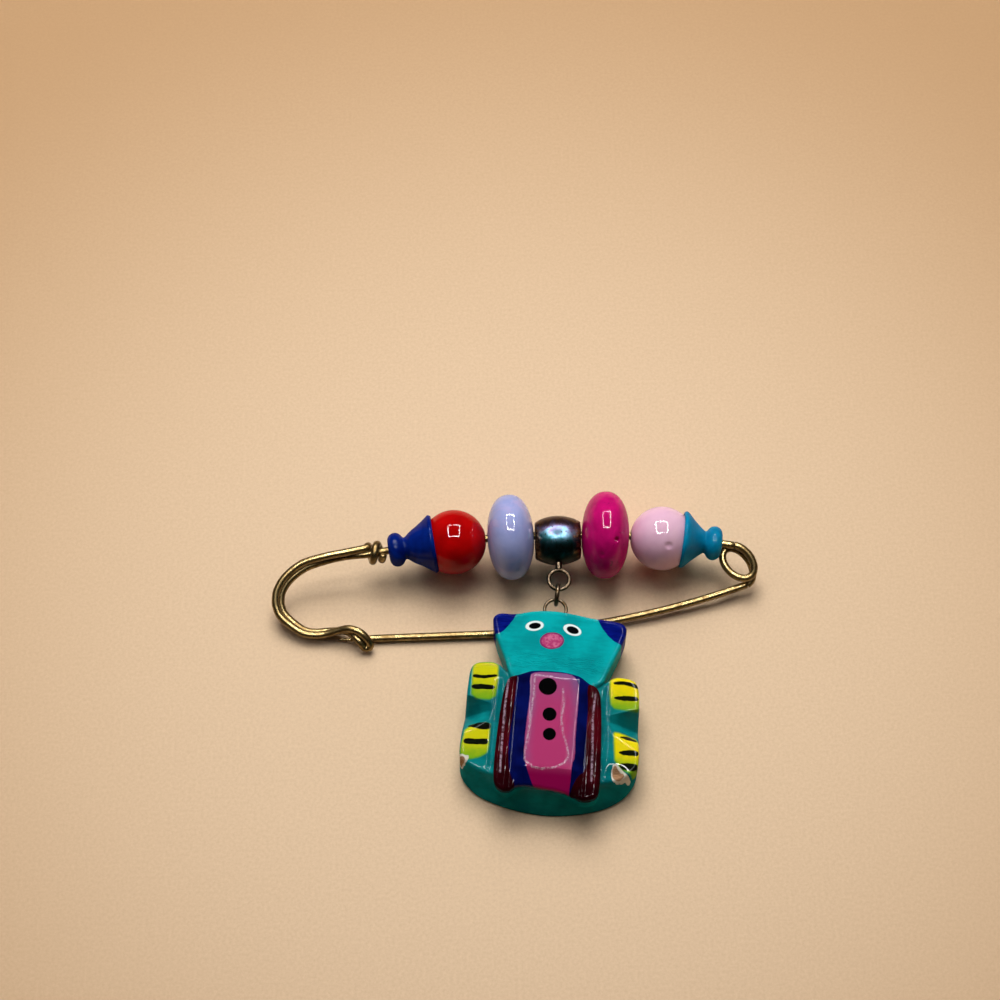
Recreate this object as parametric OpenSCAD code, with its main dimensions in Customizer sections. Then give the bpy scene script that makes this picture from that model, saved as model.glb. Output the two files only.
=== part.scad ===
// Safety pin brooch, lying on its back: seven beads on the bar and a wooden bear on split rings.
// Millimetres. X runs along the bar, Y points away from the bear, Z is up from the table.

/* [Pin wire] */
// Diameter of the pin's wire
wire_d = 1.2; // [1:0.05:1.3]
// Radius of the bar's slight arch
bar_arch_r = 185; // [150:5:400]
// How far the doubled bend reaches past the wraps
bend_reach = 15; // [12:0.1:18]
// How far the doubled bend drops below the bar
bend_drop = 12.85; // [11.5:0.05:15]
// Turns of the wire's end round the bar
wrap_turns = 1.8; // [1.3:0.05:1.85]
// Length of wire that these turns cover
wrap_len = 2.6; // [2.4:0.05:3.2]
// Bare bar between the teal cap and the spring coil
bar_tail = 2; // [1.8:0.1:3]

/* [Spring coil and pin arm] */
// Long half width of the oval coil, to the middle of its wire
coil_long = 2.95; // [2.6:0.05:3.4]
// Short half width of the oval coil, to the middle of its wire
coil_short = 1.95; // [1.7:0.05:2.3]
// How far the coil steps down through its turns
coil_step = 1.65; // [1.6:0.05:1.9]
// Length of the arm's tapered point
point_len = 5.9; // [4:0.1:7]
// Length of the straight part of the arm
straight_len = 18.1; // [14:0.1:22]
// Height of the arm above the table at the catch
arm_lift = 0.06; // [0.04:0.01:0.3]

/* [Balls and rondelles] */
// Diameter of the red ball
red_d = 10.2; // [9:0.1:11]
// Diameter of the pink ball
pink_d = 10.1; // [9:0.1:11]
// Diameter of the lavender rondelle
lavender_d = 13.5; // [13.3:0.1:14.5]
// Thickness of the lavender rondelle
lavender_t = 7.4; // [6:0.1:9]
// Diameter of the magenta rondelle
magenta_d = 13.8; // [13.3:0.1:14.5]
// Thickness of the magenta rondelle
magenta_t = 7.5; // [6:0.1:9]
// Fullness of the rondelles' profile
rondelle_full = 2.25; // [2:0.05:3]
// Length of the barrel-shaped metal bead
metal_len = 7.2; // [6:0.1:8]
// Diameter of the metal bead at its middle
metal_d = 7.8; // [6.8:0.1:8.2]
// Diameter of the metal bead at its ends
metal_end_d = 5.7; // [4.8:0.1:6.2]
// Diameter of the metal bead's bore
metal_bore = 3; // [2.9:0.05:3.3]
// Room round the wire in the other beads
bore_gap = 0.25; // [0.2:0.01:0.4]
// Space between neighbouring beads
bead_gap = 0.15; // [0.1:0.01:0.3]

/* [Cap beads] */
// Length of the blue cap
blue_len = 7.4; // [6.8:0.1:8.4]
// Diameter of the blue cap's rim
blue_rim = 9.2; // [8.4:0.1:9.8]
// Length of the teal cap
teal_len = 6.4; // [6.2:0.1:8]
// Diameter of the teal cap's rim
teal_rim = 9; // [8.4:0.1:9.6]
// Wood left round the cup at the caps' rims
cap_lip = 0.27; // [0.25:0.01:0.5]
// Diameter of the caps' knobs
knob_d = 5.4; // [4.8:0.1:6]
// Diameter of the caps' necks
neck_d = 3.5; // [3.2:0.1:4]

/* [Rings] */
// Outer diameter of the metal bead's soldered ring
bail_d = 3.9; // [3.6:0.05:4.4]
// Wire of the metal bead's soldered ring
bail_wire = 0.65; // [0.5:0.05:0.75]
// Length of the stem between the metal bead and its ring
bail_stem = 0.8; // [0.6:0.05:1.8]
// Outer diameter of the split ring
link_d = 3.8; // [3.7:0.05:4.4]
// Wire of the split ring
link_wire = 0.7; // [0.5:0.05:0.75]
// Outer diameter of the bear's eye
eye_d = 3.9; // [3.5:0.05:4.2]
// Wire of the bear's eye
eye_wire = 0.55; // [0.5:0.05:0.7]
// Depth of the eye's post in the wood
post_depth = 5; // [3:0.1:7]

/* [Bear] */
// Width of the bear across its paws
bear_w = 27.1; // [25:0.1:30]
// Length of the bear from crown to foot
bear_len = 30.7; // [29:0.1:34]
// Thickness of the body board
body_t = 6; // [5:0.1:6.5]
// Thickness of the head
head_t = 6.8; // [6.2:0.1:8]
// Height of the belly's flat front above the back
belly_t = 8.3; // [7.8:0.1:9.5]
// Rounding of the carved edges
edge_r = 0.55; // [0.3:0.05:0.65]
// Depth of the groove between arm and leg
groove_depth = 3.2; // [2:0.1:4]
// How far the sloping foot end leans back up to the front
foot_lean = 4; // [2:0.1:5]
// Turn of the lying bear
bear_turn = 6.5; // [4:0.5:9]
// Lean of the bear, its head end up
bear_lean = 3.6; // [3.3:0.1:5]

/* [Hidden] */
wire_r = wire_d / 2;
tube_sides = 10;
round_fn = 48;
wire_gap = 0.04;
strand_r = (wire_d + wire_gap) / 2;
wrap_r = wire_d + 2 * wire_gap;
thick = wire_d / 1.2;
ring_fn = 32;

// Places along the bar, measured from the middle of the metal bead
lavender_x = -metal_len / 2 - bead_gap - lavender_t / 2;
red_x = lavender_x - lavender_t / 2 - bead_gap - red_d / 2;
magenta_x = metal_len / 2 + bead_gap + magenta_t / 2;
pink_x = magenta_x + magenta_t / 2 + bead_gap + pink_d / 2;
cup_gap = 0.14;

// How far a ball's middle stands before the rim of the cap that holds it
function seat(ball_d, rim) = sqrt(pow(ball_d / 2 + cup_gap, 2) - pow(rim / 2 - cap_lip, 2));

red_seat = seat(red_d, blue_rim);
pink_seat = seat(pink_d, teal_rim);
blue_end = red_x - red_seat - blue_len;
teal_end = pink_x + pink_seat + teal_len;
wrap_end = blue_end - wire_r - 0.15;
wrap_start = wrap_end - wrap_len;
bar_end = teal_end + bar_tail;

// A point on the middle line of the bar
function bar_at(x) = [x, -x * x / (2 * bar_arch_r), 0];

// Turn of the bar at x, in degrees
function bar_turn(x) = -atan(x / bar_arch_r);

function unit(v) = v / norm(v);

// A smooth curve through four neighbouring points
function between(a, b, c, d, t) =
  0.5 * (2 * b + t * (c - a) + t * t * (2 * a - 5 * b + 4 * c - d) + t * t * t * (3 * b - 3 * c + d - a));

function smooth(keys, steps) = let (last = len(keys) - 1) concat(
  [for (i = [0:last - 1]) for (s = [0:steps - 1])
    between(keys[max(i - 1, 0)], keys[i], keys[i + 1], keys[min(i + 2, last)], s / steps)],
  [keys[last]]);

function tangents(p) = let (last = len(p) - 1) concat(
  [unit(4 * p[1] - 3 * p[0] - p[2])],
  [for (i = [1:last - 1]) unit(p[i + 1] - p[i - 1])],
  [unit(3 * p[last] - 4 * p[last - 1] + p[last - 2])]);

// A side direction carried along the curve without twisting
function carried(t, first) = let (n = len(t))
  [for (i = 0, u = first; i < n; i = i + 1, u = i < n ? unit(u - (u * t[i]) * t[i]) : u) u];

// Round wire swept along a list of points
module wire(points, r, first) {
  n = len(points);
  t = tangents(points);
  u = carried(t, unit(first - (first * t[0]) * t[0]));
  rings = [for (k = [0:n - 1]) for (j = [0:tube_sides - 1])
    let (a = 360 * j / tube_sides)
    points[k] + r * (cos(a) * u[k] + sin(a) * cross(t[k], u[k]))];
  walls = [for (k = [0:n - 2]) for (j = [0:tube_sides - 1])
    let (a = k * tube_sides + j, b = k * tube_sides + (j + 1) % tube_sides)
    for (f = [[a, a + tube_sides, b + tube_sides], [a, b + tube_sides, b]]) f];
  near_end = [for (j = [0:tube_sides - 1]) j];
  far_end = [for (j = [tube_sides - 1:-1:0]) (n - 1) * tube_sides + j];
  polyhedron(points = rings, faces = concat([near_end], walls, [far_end]), convexity = 12);
}

// The doubled bend and the catch, as the middle of the two strands and the way to the outer strand
bend_x = wrap_start;
bend_y = bar_at(wrap_start)[1];
catch_x = bend_x + 0.35;
catch_y = bend_y - bend_drop - 0.45;

function bend_point(reach, drop, up) =
  [bend_x - bend_reach * reach, bend_y - bend_drop * drop, up * thick];

function catch_point(x, y, up) = [catch_x + x, catch_y + y * thick, up * thick];

middle_keys = [
  bend_point(0.03, -0.029, 0.42),
  bend_point(0.218, -0.001, 0.38),
  bend_point(0.45, 0.05, 0.2),
  bend_point(0.67, 0.131, 0.02),
  bend_point(0.83, 0.27, 0),
  bend_point(0.912, 0.407, 0),
  bend_point(0.938, 0.521, 0),
  bend_point(0.93, 0.636, 0),
  bend_point(0.875, 0.757, 0),
  bend_point(0.7, 0.922, 0),
  bend_point(0.565, 0.962, 0.05),
  bend_point(0.435, 0.953, 0.15),
  catch_point(-4.4, 1.35, 0.75),
  catch_point(-2.85, 1.1, 1.5),
  catch_point(-1.75, 0.45, 1.8),
  catch_point(-1, -0.35, 1.65),
  catch_point(-0.6, -1, 1.25)
];

outer_keys = [
  [-0.1, 0.72, 0.68],
  [-0.08, 0.46, 0.88],
  [-0.12, 0.52, 0.84],
  [-0.32, 0.6, 0.74],
  [-0.54, 0.42, 0.73],
  [-0.62, 0.18, 0.76],
  [-0.63, -0.02, 0.78],
  [-0.58, -0.18, 0.79],
  [-0.48, -0.3, 0.82],
  [-0.15, -0.4, 0.9],
  [0, -0.38, 0.92],
  [0, -0.33, 0.94],
  [-0.25, 0.10, 0.93],
  [0.15, 0.55, 0.75],
  [0.65, 0.50, 0.40],
  [0.85, 0.45, 0.22],
  [0.92, 0.30, 0.18]
];

bend_steps = 4;
middle = smooth(middle_keys, bend_steps);
middle_t = tangents(middle);
outward = [for (i = [0:len(middle) - 1])
  let (o = smooth(outer_keys, bend_steps)[i]) unit(o - (o * middle_t[i]) * middle_t[i])];
inner_strand = [for (i = [0:len(middle) - 1]) middle[i] - strand_r * outward[i]];
outer_strand = [for (i = [len(middle) - 1:-1:0]) middle[i] + strand_r * outward[i]];
fold_at = len(middle) - 1;
fold = [for (a = [150:-30:30])
  middle[fold_at] + strand_r * (cos(a) * outward[fold_at] + sin(a) * middle_t[fold_at])];

bar_steps = 10;
bar_line = [for (i = [0:bar_steps]) bar_at(bar_end - 0.05 + (wrap_start - bar_end) * i / bar_steps)];

// The outer strand's end, wound round the bar just left of the blue cap
wrap_steps = 26;
wrap_first = 40;
wraps = [for (i = [0:wrap_steps])
  let (x = wrap_start + (wrap_end - wrap_start) * i / wrap_steps,
    a = wrap_first - 360 * wrap_turns * i / wrap_steps)
  bar_at(x) + wrap_r * [0, cos(a), sin(a)]];

frame_line = concat(bar_line, inner_strand, fold, outer_strand, wraps);

// The oval coil: its long side runs down to the right, and each turn steps down and to the lower left
coil_slant = -50;
coil_way_in = bar_turn(bar_end);
coil_shift = [-0.05, -1.1, -coil_step];
long_dir = [cos(coil_slant), sin(coil_slant), 0];
short_dir = [sin(coil_slant), -cos(coil_slant), 0];

function oval(a) = coil_long * cos(a) * long_dir + coil_short * sin(a) * short_dir;

// The place on the oval where the wire heads the way h
function heading(h) = atan2(-(h * long_dir) / coil_long, (h * short_dir) / coil_short);

arm_slope = 1.1;
arm_catch = [catch_x, catch_y, 0];
arm_dir = [cos(arm_slope), sin(arm_slope), 0];
point_start = 0.7;
straight_end = arm_catch + arm_dir * (straight_len + point_start);
coil_first = heading([cos(coil_way_in), sin(coil_way_in), 0]);
coil_mid = bar_at(bar_end) - oval(coil_first);
leave_guess = 19;
coil_last = heading([-cos(leave_guess), -sin(leave_guess), 0]) + 360;
coil_steps = 44;

function eased(s) = (1 - cos(180 * s)) / 2;

function drift(s) = [coil_shift[0] * eased(s), coil_shift[1] * pow(s, 2.5), coil_shift[2] * eased(s)];

coil_line = [for (i = [0:coil_steps])
  let (s = i / coil_steps, a = coil_first + (coil_last - coil_first) * s)
  coil_mid + oval(a) + drift(s)];

// The arm's long curve, from the straight part up to the coil
coil_exit = coil_line[coil_steps];
arm_chord = coil_exit - straight_end;
arm_side = arm_chord - (arm_chord * arm_dir) * arm_dir;
arm_r = (arm_chord * arm_chord) / (2 * norm(arm_side));
arm_turn = 2 * atan2(norm(arm_side), arm_chord * arm_dir) - 0.03;
arm_p = unit(arm_side);
arm_b = cross(arm_dir, arm_p);

// How the pin lies: the rondelles stand on the table and the arm touches it at the catch
bar_z = (lavender_d + magenta_d) / 4 - bar_at(lavender_x)[1] * 0.4;
arm_z = wire_r + arm_lift;
pin_dip = asin((bar_z - arm_z) / -catch_y);

function laid(p) = [
  p[0],
  p[1] * cos(pin_dip) - p[2] * sin(pin_dip),
  bar_z + p[1] * sin(pin_dip) + p[2] * cos(pin_dip)];

// The metal bead hangs towards the bear on its wide bore
metal_at = laid(bar_at(0)) + [0, -0.7, -0.45];
bail_dip = 4;
bail_mean = (bail_d - bail_wire) / 2;
bail_reach = metal_d / 2 + bail_stem + bail_d / 2;
bail_dir = [0, -cos(bail_dip), -sin(bail_dip)];
bail_at = metal_at + bail_reach * bail_dir;

// The split ring holds the soldered ring and the bear's eye apart by its own inside width
eye_mean = (eye_d - eye_wire) / 2;
link_slack = 0.06;
link_hold = link_d - 2 * link_wire - (bail_wire + eye_wire) / 2 - 2 * link_slack;
link_reach = bail_mean + link_hold + eye_mean;

// Shapes of the bear, on its own width and length: left to right, foot to crown
across = bear_w / 27.1;
along = bear_len / 30.7;
eye_u = -0.72 * across;
eye_v = 30 * along + eye_d / 2 - 0.5;
eye_w = head_t / 2;

body_outline = [
  [1.2, -0.95], [5.4, -0.45], [9.3, 0.75], [12.2, 2.7], [13.7, 5.2], [13.9, 8.0],
  [13.6, 11.8], [13.4, 15.4], [13.1, 19.0], [12.2, 20.3], [9.3, 20.5], [7.0, 18.4],
  [0.3, 18.2], [-6.4, 19.0], [-8.9, 21.3], [-11.9, 21.1], [-12.9, 20.0], [-13.0, 15.4],
  [-13.1, 11.2], [-13.3, 6.6], [-12.9, 3.7], [-10.3, 1.2], [-6.2, -0.2], [-2.4, -0.85]];

head_outline = [
  [7.1, 17.6], [8.6, 21.6], [10.1, 25.6], [10.7, 28.0], [10.0, 29.0], [8.0, 29.3],
  [5.6, 29.3], [2.4, 29.8], [-0.9, 30.1], [-4.0, 29.8], [-6.8, 29.0], [-9.2, 29.1],
  [-10.2, 28.3], [-9.9, 26.6], [-9.2, 24.6], [-7.7, 21.4], [-6.2, 17.6]];

function scaled(outline) = [for (p = outline) [p[0] * across, p[1] * along]];

// The foot end slopes: a point near it moves up the body with its height, most at the corners
function footed(p, rise) = p + [0, rise * max(0, 7 * along - p[1]) / (8 * along)
  * (0.6 + 0.04 * abs(p[0]) / across)];

// The outline moved in by d, its sides kept parallel
function inset(p, d) = let (n = len(p))
  [for (i = [0:n - 1])
    let (a = unit(p[i] - p[(i + n - 1) % n]),
      b = unit(p[(i + 1) % n] - p[i]),
      m = unit([-a[1], a[0]] + [-b[1], b[0]]))
    p[i] + m * d / (m * [-b[1], b[0]])];

// A board with rounded edges on that outline, from the back up to height t, its foot end leaning back
module board(outline, t, r, lean) {
  n = len(outline);
  levels = [
    [0, r],
    [0.3 * r, 0.3 * r],
    [r, 0],
    [t - r, 0],
    [t - 0.3 * r, 0.3 * r],
    [t, r]];
  last = len(levels) - 1;
  points = [for (l = levels) for (p = inset(outline, l[1])) let (q = footed(p, lean * l[0] / t)) [q[0], q[1], l[0]]];
  walls = [for (k = [0:last - 1]) for (j = [0:n - 1])
    let (a = k * n + j, b = k * n + (j + 1) % n)
    for (f = [[a, a + n, b + n], [a, b + n, b]]) f];
  back = [for (j = [0:n - 1]) j];
  front = [for (j = [n - 1:-1:0]) last * n + j];
  polyhedron(points = points, faces = concat([back], walls, [front]), convexity = 6);
}

// Heights of the belly block: flat front, blue slopes and the raised maroon strips
strip_t = belly_t - 0.95;
root_t = body_t - 1.5;

function belly_section(v, side, front, low, strip) = [
  [(-7.35 - side) * across, v, root_t],
  [(-7.35 - side) * across, v, strip - 0.5],
  [(-6.9 - side) * across, v, strip],
  [(-5.3 - side) * across, v, strip],
  [(-3.7 + side) * across, v, front - low],
  [(3.8 - side) * across, v, front - low],
  [(5.3 + side) * across, v, strip],
  [(7.1 + side) * across, v, strip],
  [(7.55 + side) * across, v, strip - 0.5],
  [(7.55 + side) * across, v, root_t]];

belly_rows = [
  belly_section(0.9 * along, 0.1, belly_t, 1.7, strip_t - 0.6),
  belly_section(1.5 * along, 0.15, belly_t, 1.25, strip_t),
  belly_section(3.2 * along, 0.15, belly_t, 0.15, strip_t),
  belly_section(10 * along, 0, belly_t, 0, strip_t),
  belly_section(18.1 * along, -0.25, belly_t, 0.05, strip_t),
  belly_section(18.8 * along, -0.3, belly_t, 0.6, strip_t - 0.3)];

module belly() {
  n = len(belly_rows[0]);
  last = len(belly_rows) - 1;
  points = [for (row = belly_rows) for (p = row) p];
  walls = [for (k = [0:last - 1]) for (j = [0:n - 1])
    let (a = k * n + j, b = k * n + (j + 1) % n)
    for (f = [[a, a + n, b + n], [a, b + n, b]]) f];
  foot_end = [for (j = [0:n - 1]) j];
  head_end = [for (j = [n - 1:-1:0]) last * n + j];
  polyhedron(points = points, faces = concat([foot_end], walls, [head_end]), convexity = 6);
}

// The wedge cut from the side between arm and leg, side is 1 or -1
groove_v = 13.3 * along;

module groove(side) {
  tip = [side * 8.9 * across, groove_v, body_t + 0.05];
  out = side * 15 * across;
  wide = 2.3 * along;
  top = body_t + 0.9;
  points = [
    tip,
    [out, groove_v + wide, top],
    [out, groove_v - wide, top],
    [out, groove_v, body_t - groove_depth]];
  faces = side > 0
    ? [[0, 1, 2], [0, 2, 3], [0, 3, 1], [1, 3, 2]]
    : [[0, 2, 1], [0, 3, 2], [0, 1, 3], [1, 2, 3]];
  polyhedron(points = points, faces = faces, convexity = 2);
}

// How the bear lies: foot end on the table, head end raised over the pin's arm
back_foot = min([for (p = inset(scaled(body_outline), edge_r)) p[1]]);
bear_z = -back_foot * sin(bear_lean);
eye_z = bear_z + eye_v * sin(bear_lean) + eye_w * cos(bear_lean);
link_dx = -0.72;
link_dz = eye_z - bail_at[2];
eye_at = [
  bail_at[0] + link_dx,
  bail_at[1] - sqrt(link_reach * link_reach - link_dx * link_dx - link_dz * link_dz),
  eye_z];
link_dir = unit(eye_at - bail_at);
link_at = bail_at + (bail_mean + link_hold / 2) * link_dir;
eye_flat_v = eye_v * cos(bear_lean) - eye_w * sin(bear_lean);

// A bear point on the table: across, along, up
function bear_at(p) = let (f = p[1] * cos(bear_lean) - p[2] * sin(bear_lean) - eye_flat_v, s = p[0] - eye_u) [
  eye_at[0] + s * cos(bear_turn) + f * sin(bear_turn),
  eye_at[1] - s * sin(bear_turn) + f * cos(bear_turn),
  bear_z + p[1] * sin(bear_lean) + p[2] * cos(bear_lean)];

// The middle of the whole brooch, which goes to the origin
x_low = min([for (p = frame_line) laid(p)[0]]) - wire_r;
x_high = max([for (p = coil_line) laid(p)[0]]) + wire_r;
y_low = min([for (p = scaled(body_outline)) bear_at([p[0], p[1], edge_r])[1]]);
y_high = laid(bar_at(magenta_x))[1] + magenta_d / 2;
centre = [-(x_low + x_high) / 2, -(y_low + y_high) / 2, 0];

module on_pin() translate(centre) translate([0, 0, bar_z]) rotate([pin_dip, 0, 0]) children();

module on_table() translate(centre) children();

// A bead placed on the bar at x, its axis along the wire
module threaded(x) on_pin() translate(bar_at(x)) rotate([0, 0, bar_turn(x)]) rotate([0, 90, 0]) children();

// Balls and caps hang down on the wire by most of the room in their bores
module hanging(x) translate([0, 0, -0.7 * bore_gap]) threaded(x) children();

module on_bear() on_table() translate([eye_at[0], eye_at[1], bear_z])
  rotate([0, 0, -bear_turn]) translate([-eye_u, -eye_flat_v, 0]) rotate([bear_lean, 0, 0]) children();

bore_r = wire_r + bore_gap;
brass = [0.55, 0.45, 0.26];

module pin_frame() color(brass) on_pin() wire(frame_line, wire_r, [0, 0, 1]);

module spring_coil() color(brass) on_pin() wire(coil_line, wire_r, [0, 0, 1]);

// Straight shaft with its point, then the long curve up to the coil
module pin_arm() color(brass) on_pin() translate(straight_end)
  multmatrix([
    [arm_dir[0], arm_p[0], arm_b[0], 0],
    [arm_dir[1], arm_p[1], arm_b[1], 0],
    [arm_dir[2], arm_p[2], arm_b[2], 0],
    [0, 0, 0, 1]]) {
    rotate([0, -90, 0]) rotate_extrude($fn = round_fn) polygon([
      [0, 0],
      [wire_r, 0],
      [wire_r, straight_len],
      [wire_r * 0.72, straight_len + point_len * 0.5],
      [wire_r * 0.15, straight_len + point_len * 0.97],
      [0, straight_len + point_len]]);
    translate([0, arm_r, 0]) rotate([0, 0, -90])
      rotate_extrude(angle = arm_turn, $fn = round_fn) translate([arm_r, 0]) circle(r = wire_r, $fn = round_fn);
  }

module ball(d) difference() {
  sphere(d = d, $fn = round_fn);
  cylinder(h = d + 2, r = bore_r, center = true, $fn = round_fn);
}

profile_steps = 14;

// A rondelle turned from its profile, diameter d and thickness t along the wire
module rondelle(d, t) {
  power = 2 / rondelle_full;
  rim = d / 2;
  reach = acos(pow(bore_r / rim, 1 / power));
  rotate_extrude($fn = round_fn) polygon([for (i = [-profile_steps:profile_steps])
    let (a = reach * i / profile_steps)
    [rim * pow(cos(a), power), sign(i) * t / 2 * pow(abs(sin(a)), power)]]);
}

// A turned cap: knob, neck and a flare whose cup holds the neighbouring ball
module cap(length, rim, ball_r, ball_seat) {
  knob_r = knob_d / 2;
  knob_h = 1.22;
  neck_r = neck_d / 2;
  cup = ball_r + cup_gap;
  deep = asin(bore_r / cup);
  wide = acos(ball_seat / cup);
  cup_points = [for (i = [0:10])
    let (a = wide + (deep - wide) * i / 10) [cup * sin(a), length + ball_seat - cup * cos(a)]];
  knob_points = [for (a = [-80:20:60]) [knob_r - knob_h + knob_h * cos(a), knob_h + 0.05 + knob_h * sin(a)]];
  rotate_extrude($fn = round_fn) polygon(concat(
    [[bore_r, 0.25]],
    knob_points,
    [[neck_r, 2.62], [neck_r + 0.1, 2.95], [neck_r + 0.75, 3.75]],
    [[rim / 2 - 0.35, length - 0.95], [rim / 2, length - 0.5], [rim / 2 - 0.06, length - 0.2]],
    cup_points));
}

module blue_cap() color([0.03, 0.12, 0.45]) hanging(blue_end) cap(blue_len, blue_rim, red_d / 2, red_seat);

module red_bead() color([0.75, 0.05, 0.06]) hanging(red_x) ball(red_d);

// Each rondelle stands on the table, within the room that its bore leaves round the wire
module standing(x, d) translate([0, 0, d / 2 + 0.01 - laid(bar_at(x))[2]]) threaded(x) children();

module lavender_bead() color([0.6, 0.62, 0.85]) standing(lavender_x, lavender_d) rondelle(lavender_d, lavender_t);

module magenta_bead() color([0.72, 0.05, 0.4]) standing(magenta_x, magenta_d) rondelle(magenta_d, magenta_t);

module pink_bead() color([0.92, 0.68, 0.78]) hanging(pink_x) ball(pink_d);

module teal_cap() color([0.02, 0.45, 0.6]) hanging(teal_end) mirror([0, 0, 1])
  cap(teal_len, teal_rim, pink_d / 2, pink_seat);

// Wire ring round Z
module ring(d, w) rotate_extrude($fn = round_fn) translate([(d - w) / 2, 0]) circle(d = w, $fn = ring_fn);

// Half thickness of the barrel along the bar, as part of the ellipse that its ends cut off
barrel_reach = metal_len / 2 / sqrt(1 - pow(metal_end_d / metal_d, 2));

module barrel() rotate([0, 90, 0]) rotate_extrude($fn = round_fn) polygon(concat(
  [[0, -metal_len / 2]],
  [for (i = [-profile_steps:profile_steps])
    let (x = metal_len / 2 * i / profile_steps)
    [metal_d / 2 * sqrt(1 - pow(x / barrel_reach, 2)), x]],
  [[0, metal_len / 2]]));

// The metal bead with the ring soldered on its stem
module metal_bead() color([0.25, 0.22, 0.28]) on_table() translate(metal_at) rotate([bail_dip, 0, 0])
  difference() {
    union() {
      barrel();
      translate([0, -bail_reach + bail_mean, 0]) rotate([-90, 0, 0])
        cylinder(h = bail_reach - bail_mean, r = bail_wire * 0.85, $fn = ring_fn);
      translate([0, -bail_reach, 0]) ring(bail_d, bail_wire);
    }
    rotate([0, 90, 0]) cylinder(h = metal_len + 2, d = metal_bore, center = true, $fn = round_fn);
  }

link_side = unit([1, 0, 0] - link_dir[0] * link_dir);
link_up = cross(link_dir, link_side);

module split_ring() color([0.45, 0.42, 0.4]) on_table() translate(link_at)
  multmatrix([
    [link_dir[0], link_up[0], -link_side[0], 0],
    [link_dir[1], link_up[1], -link_side[1], 0],
    [link_dir[2], link_up[2], -link_side[2], 0],
    [0, 0, 0, 1]])
  ring(link_d, link_wire);

post_r = eye_wire * 0.75;
crown_v = 30 * along;

// The bear's eye and the post that holds it in the crown
module bear_eye() color([0.45, 0.42, 0.4]) on_bear() translate([eye_u, eye_v, eye_w]) {
  ring(eye_d, eye_wire);
  translate([0, -eye_mean, 0]) rotate([90, 0, 0])
    cylinder(h = eye_v - eye_mean - crown_v + post_depth, r = post_r, $fn = ring_fn);
}

ring_room = 0.15;

module bear() color([0.05, 0.62, 0.6]) on_bear() difference() {
  union() {
    board(scaled(body_outline), body_t, edge_r, foot_lean);
    board(scaled(head_outline), head_t, edge_r, 0);
    belly();
  }
  groove(1);
  groove(-1);
  translate([eye_u, crown_v + 1, eye_w]) rotate([90, 0, 0])
    cylinder(h = post_depth + 1.2, r = post_r + 0.08, $fn = ring_fn);
  translate([eye_u, eye_v, eye_w])
    cylinder(h = eye_wire + 2 * ring_room, r = eye_d / 2 + ring_room, center = true, $fn = round_fn);
}

pin_frame();
spring_coil();
pin_arm();
blue_cap();
red_bead();
lavender_bead();
metal_bead();
magenta_bead();
pink_bead();
teal_cap();
split_ring();
bear_eye();
bear();
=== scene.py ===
import math

import bpy
import numpy as np
from mathutils import Matrix, Vector


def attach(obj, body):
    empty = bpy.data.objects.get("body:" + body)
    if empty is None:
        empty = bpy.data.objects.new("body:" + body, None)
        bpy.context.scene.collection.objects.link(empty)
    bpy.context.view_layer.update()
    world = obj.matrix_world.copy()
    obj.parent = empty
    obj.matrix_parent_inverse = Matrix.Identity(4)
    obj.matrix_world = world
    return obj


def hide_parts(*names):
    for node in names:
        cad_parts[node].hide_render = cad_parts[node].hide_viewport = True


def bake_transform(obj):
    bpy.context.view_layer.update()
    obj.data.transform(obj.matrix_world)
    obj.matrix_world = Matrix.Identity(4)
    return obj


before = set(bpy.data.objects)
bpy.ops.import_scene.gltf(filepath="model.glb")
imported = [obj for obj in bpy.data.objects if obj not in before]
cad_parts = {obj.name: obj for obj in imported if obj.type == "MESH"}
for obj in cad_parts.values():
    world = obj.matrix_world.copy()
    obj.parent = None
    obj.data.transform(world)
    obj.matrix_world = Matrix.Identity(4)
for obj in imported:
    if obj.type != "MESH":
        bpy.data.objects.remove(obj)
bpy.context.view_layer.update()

MM = 0.001
TAU = 2 * math.pi

# Sizes shared with the part, in mm
WIRE_R = 0.6
ARCH_R = 185.0
BEND_REACH, BEND_DROP = 15.0, 12.85
WRAP_TURNS, WRAP_LEN, BAR_TAIL = 1.8, 2.6, 2.0
COIL_LONG, COIL_SHORT, COIL_STEP = 2.95, 1.95, 1.65
POINT_LEN, STRAIGHT_LEN, POINT_START, ARM_LIFT = 5.9, 18.1, 0.7, 0.06
RED_D, PINK_D = 10.2, 10.1
LAVENDER_D, LAVENDER_T, MAGENTA_D, MAGENTA_T, FULL = 13.5, 7.4, 13.8, 7.5, 2.25
METAL_LEN, METAL_D, METAL_END_D, METAL_BORE = 7.2, 7.8, 5.7, 3.0
BORE_GAP, BEAD_GAP = 0.25, 0.15
BLUE_LEN, BLUE_RIM, TEAL_LEN, TEAL_RIM = 7.4, 9.2, 6.4, 9.0
KNOB_D, NECK_D, CAP_LIP, CUP_GAP = 5.4, 3.5, 0.27, 0.14
BAIL_D, BAIL_WIRE, BAIL_STEM = 3.9, 0.65, 0.8
LINK_D, LINK_WIRE, EYE_D, EYE_WIRE, POST_DEPTH = 3.8, 0.7, 3.9, 0.55, 5.0
BODY_T, HEAD_T, BELLY_T = 6.0, 6.8, 8.3
BEAR_TURN, BEAR_LEAN, EDGE_R, FOOT_LEAN = 6.5, 3.6, 0.55, 4.0

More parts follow.
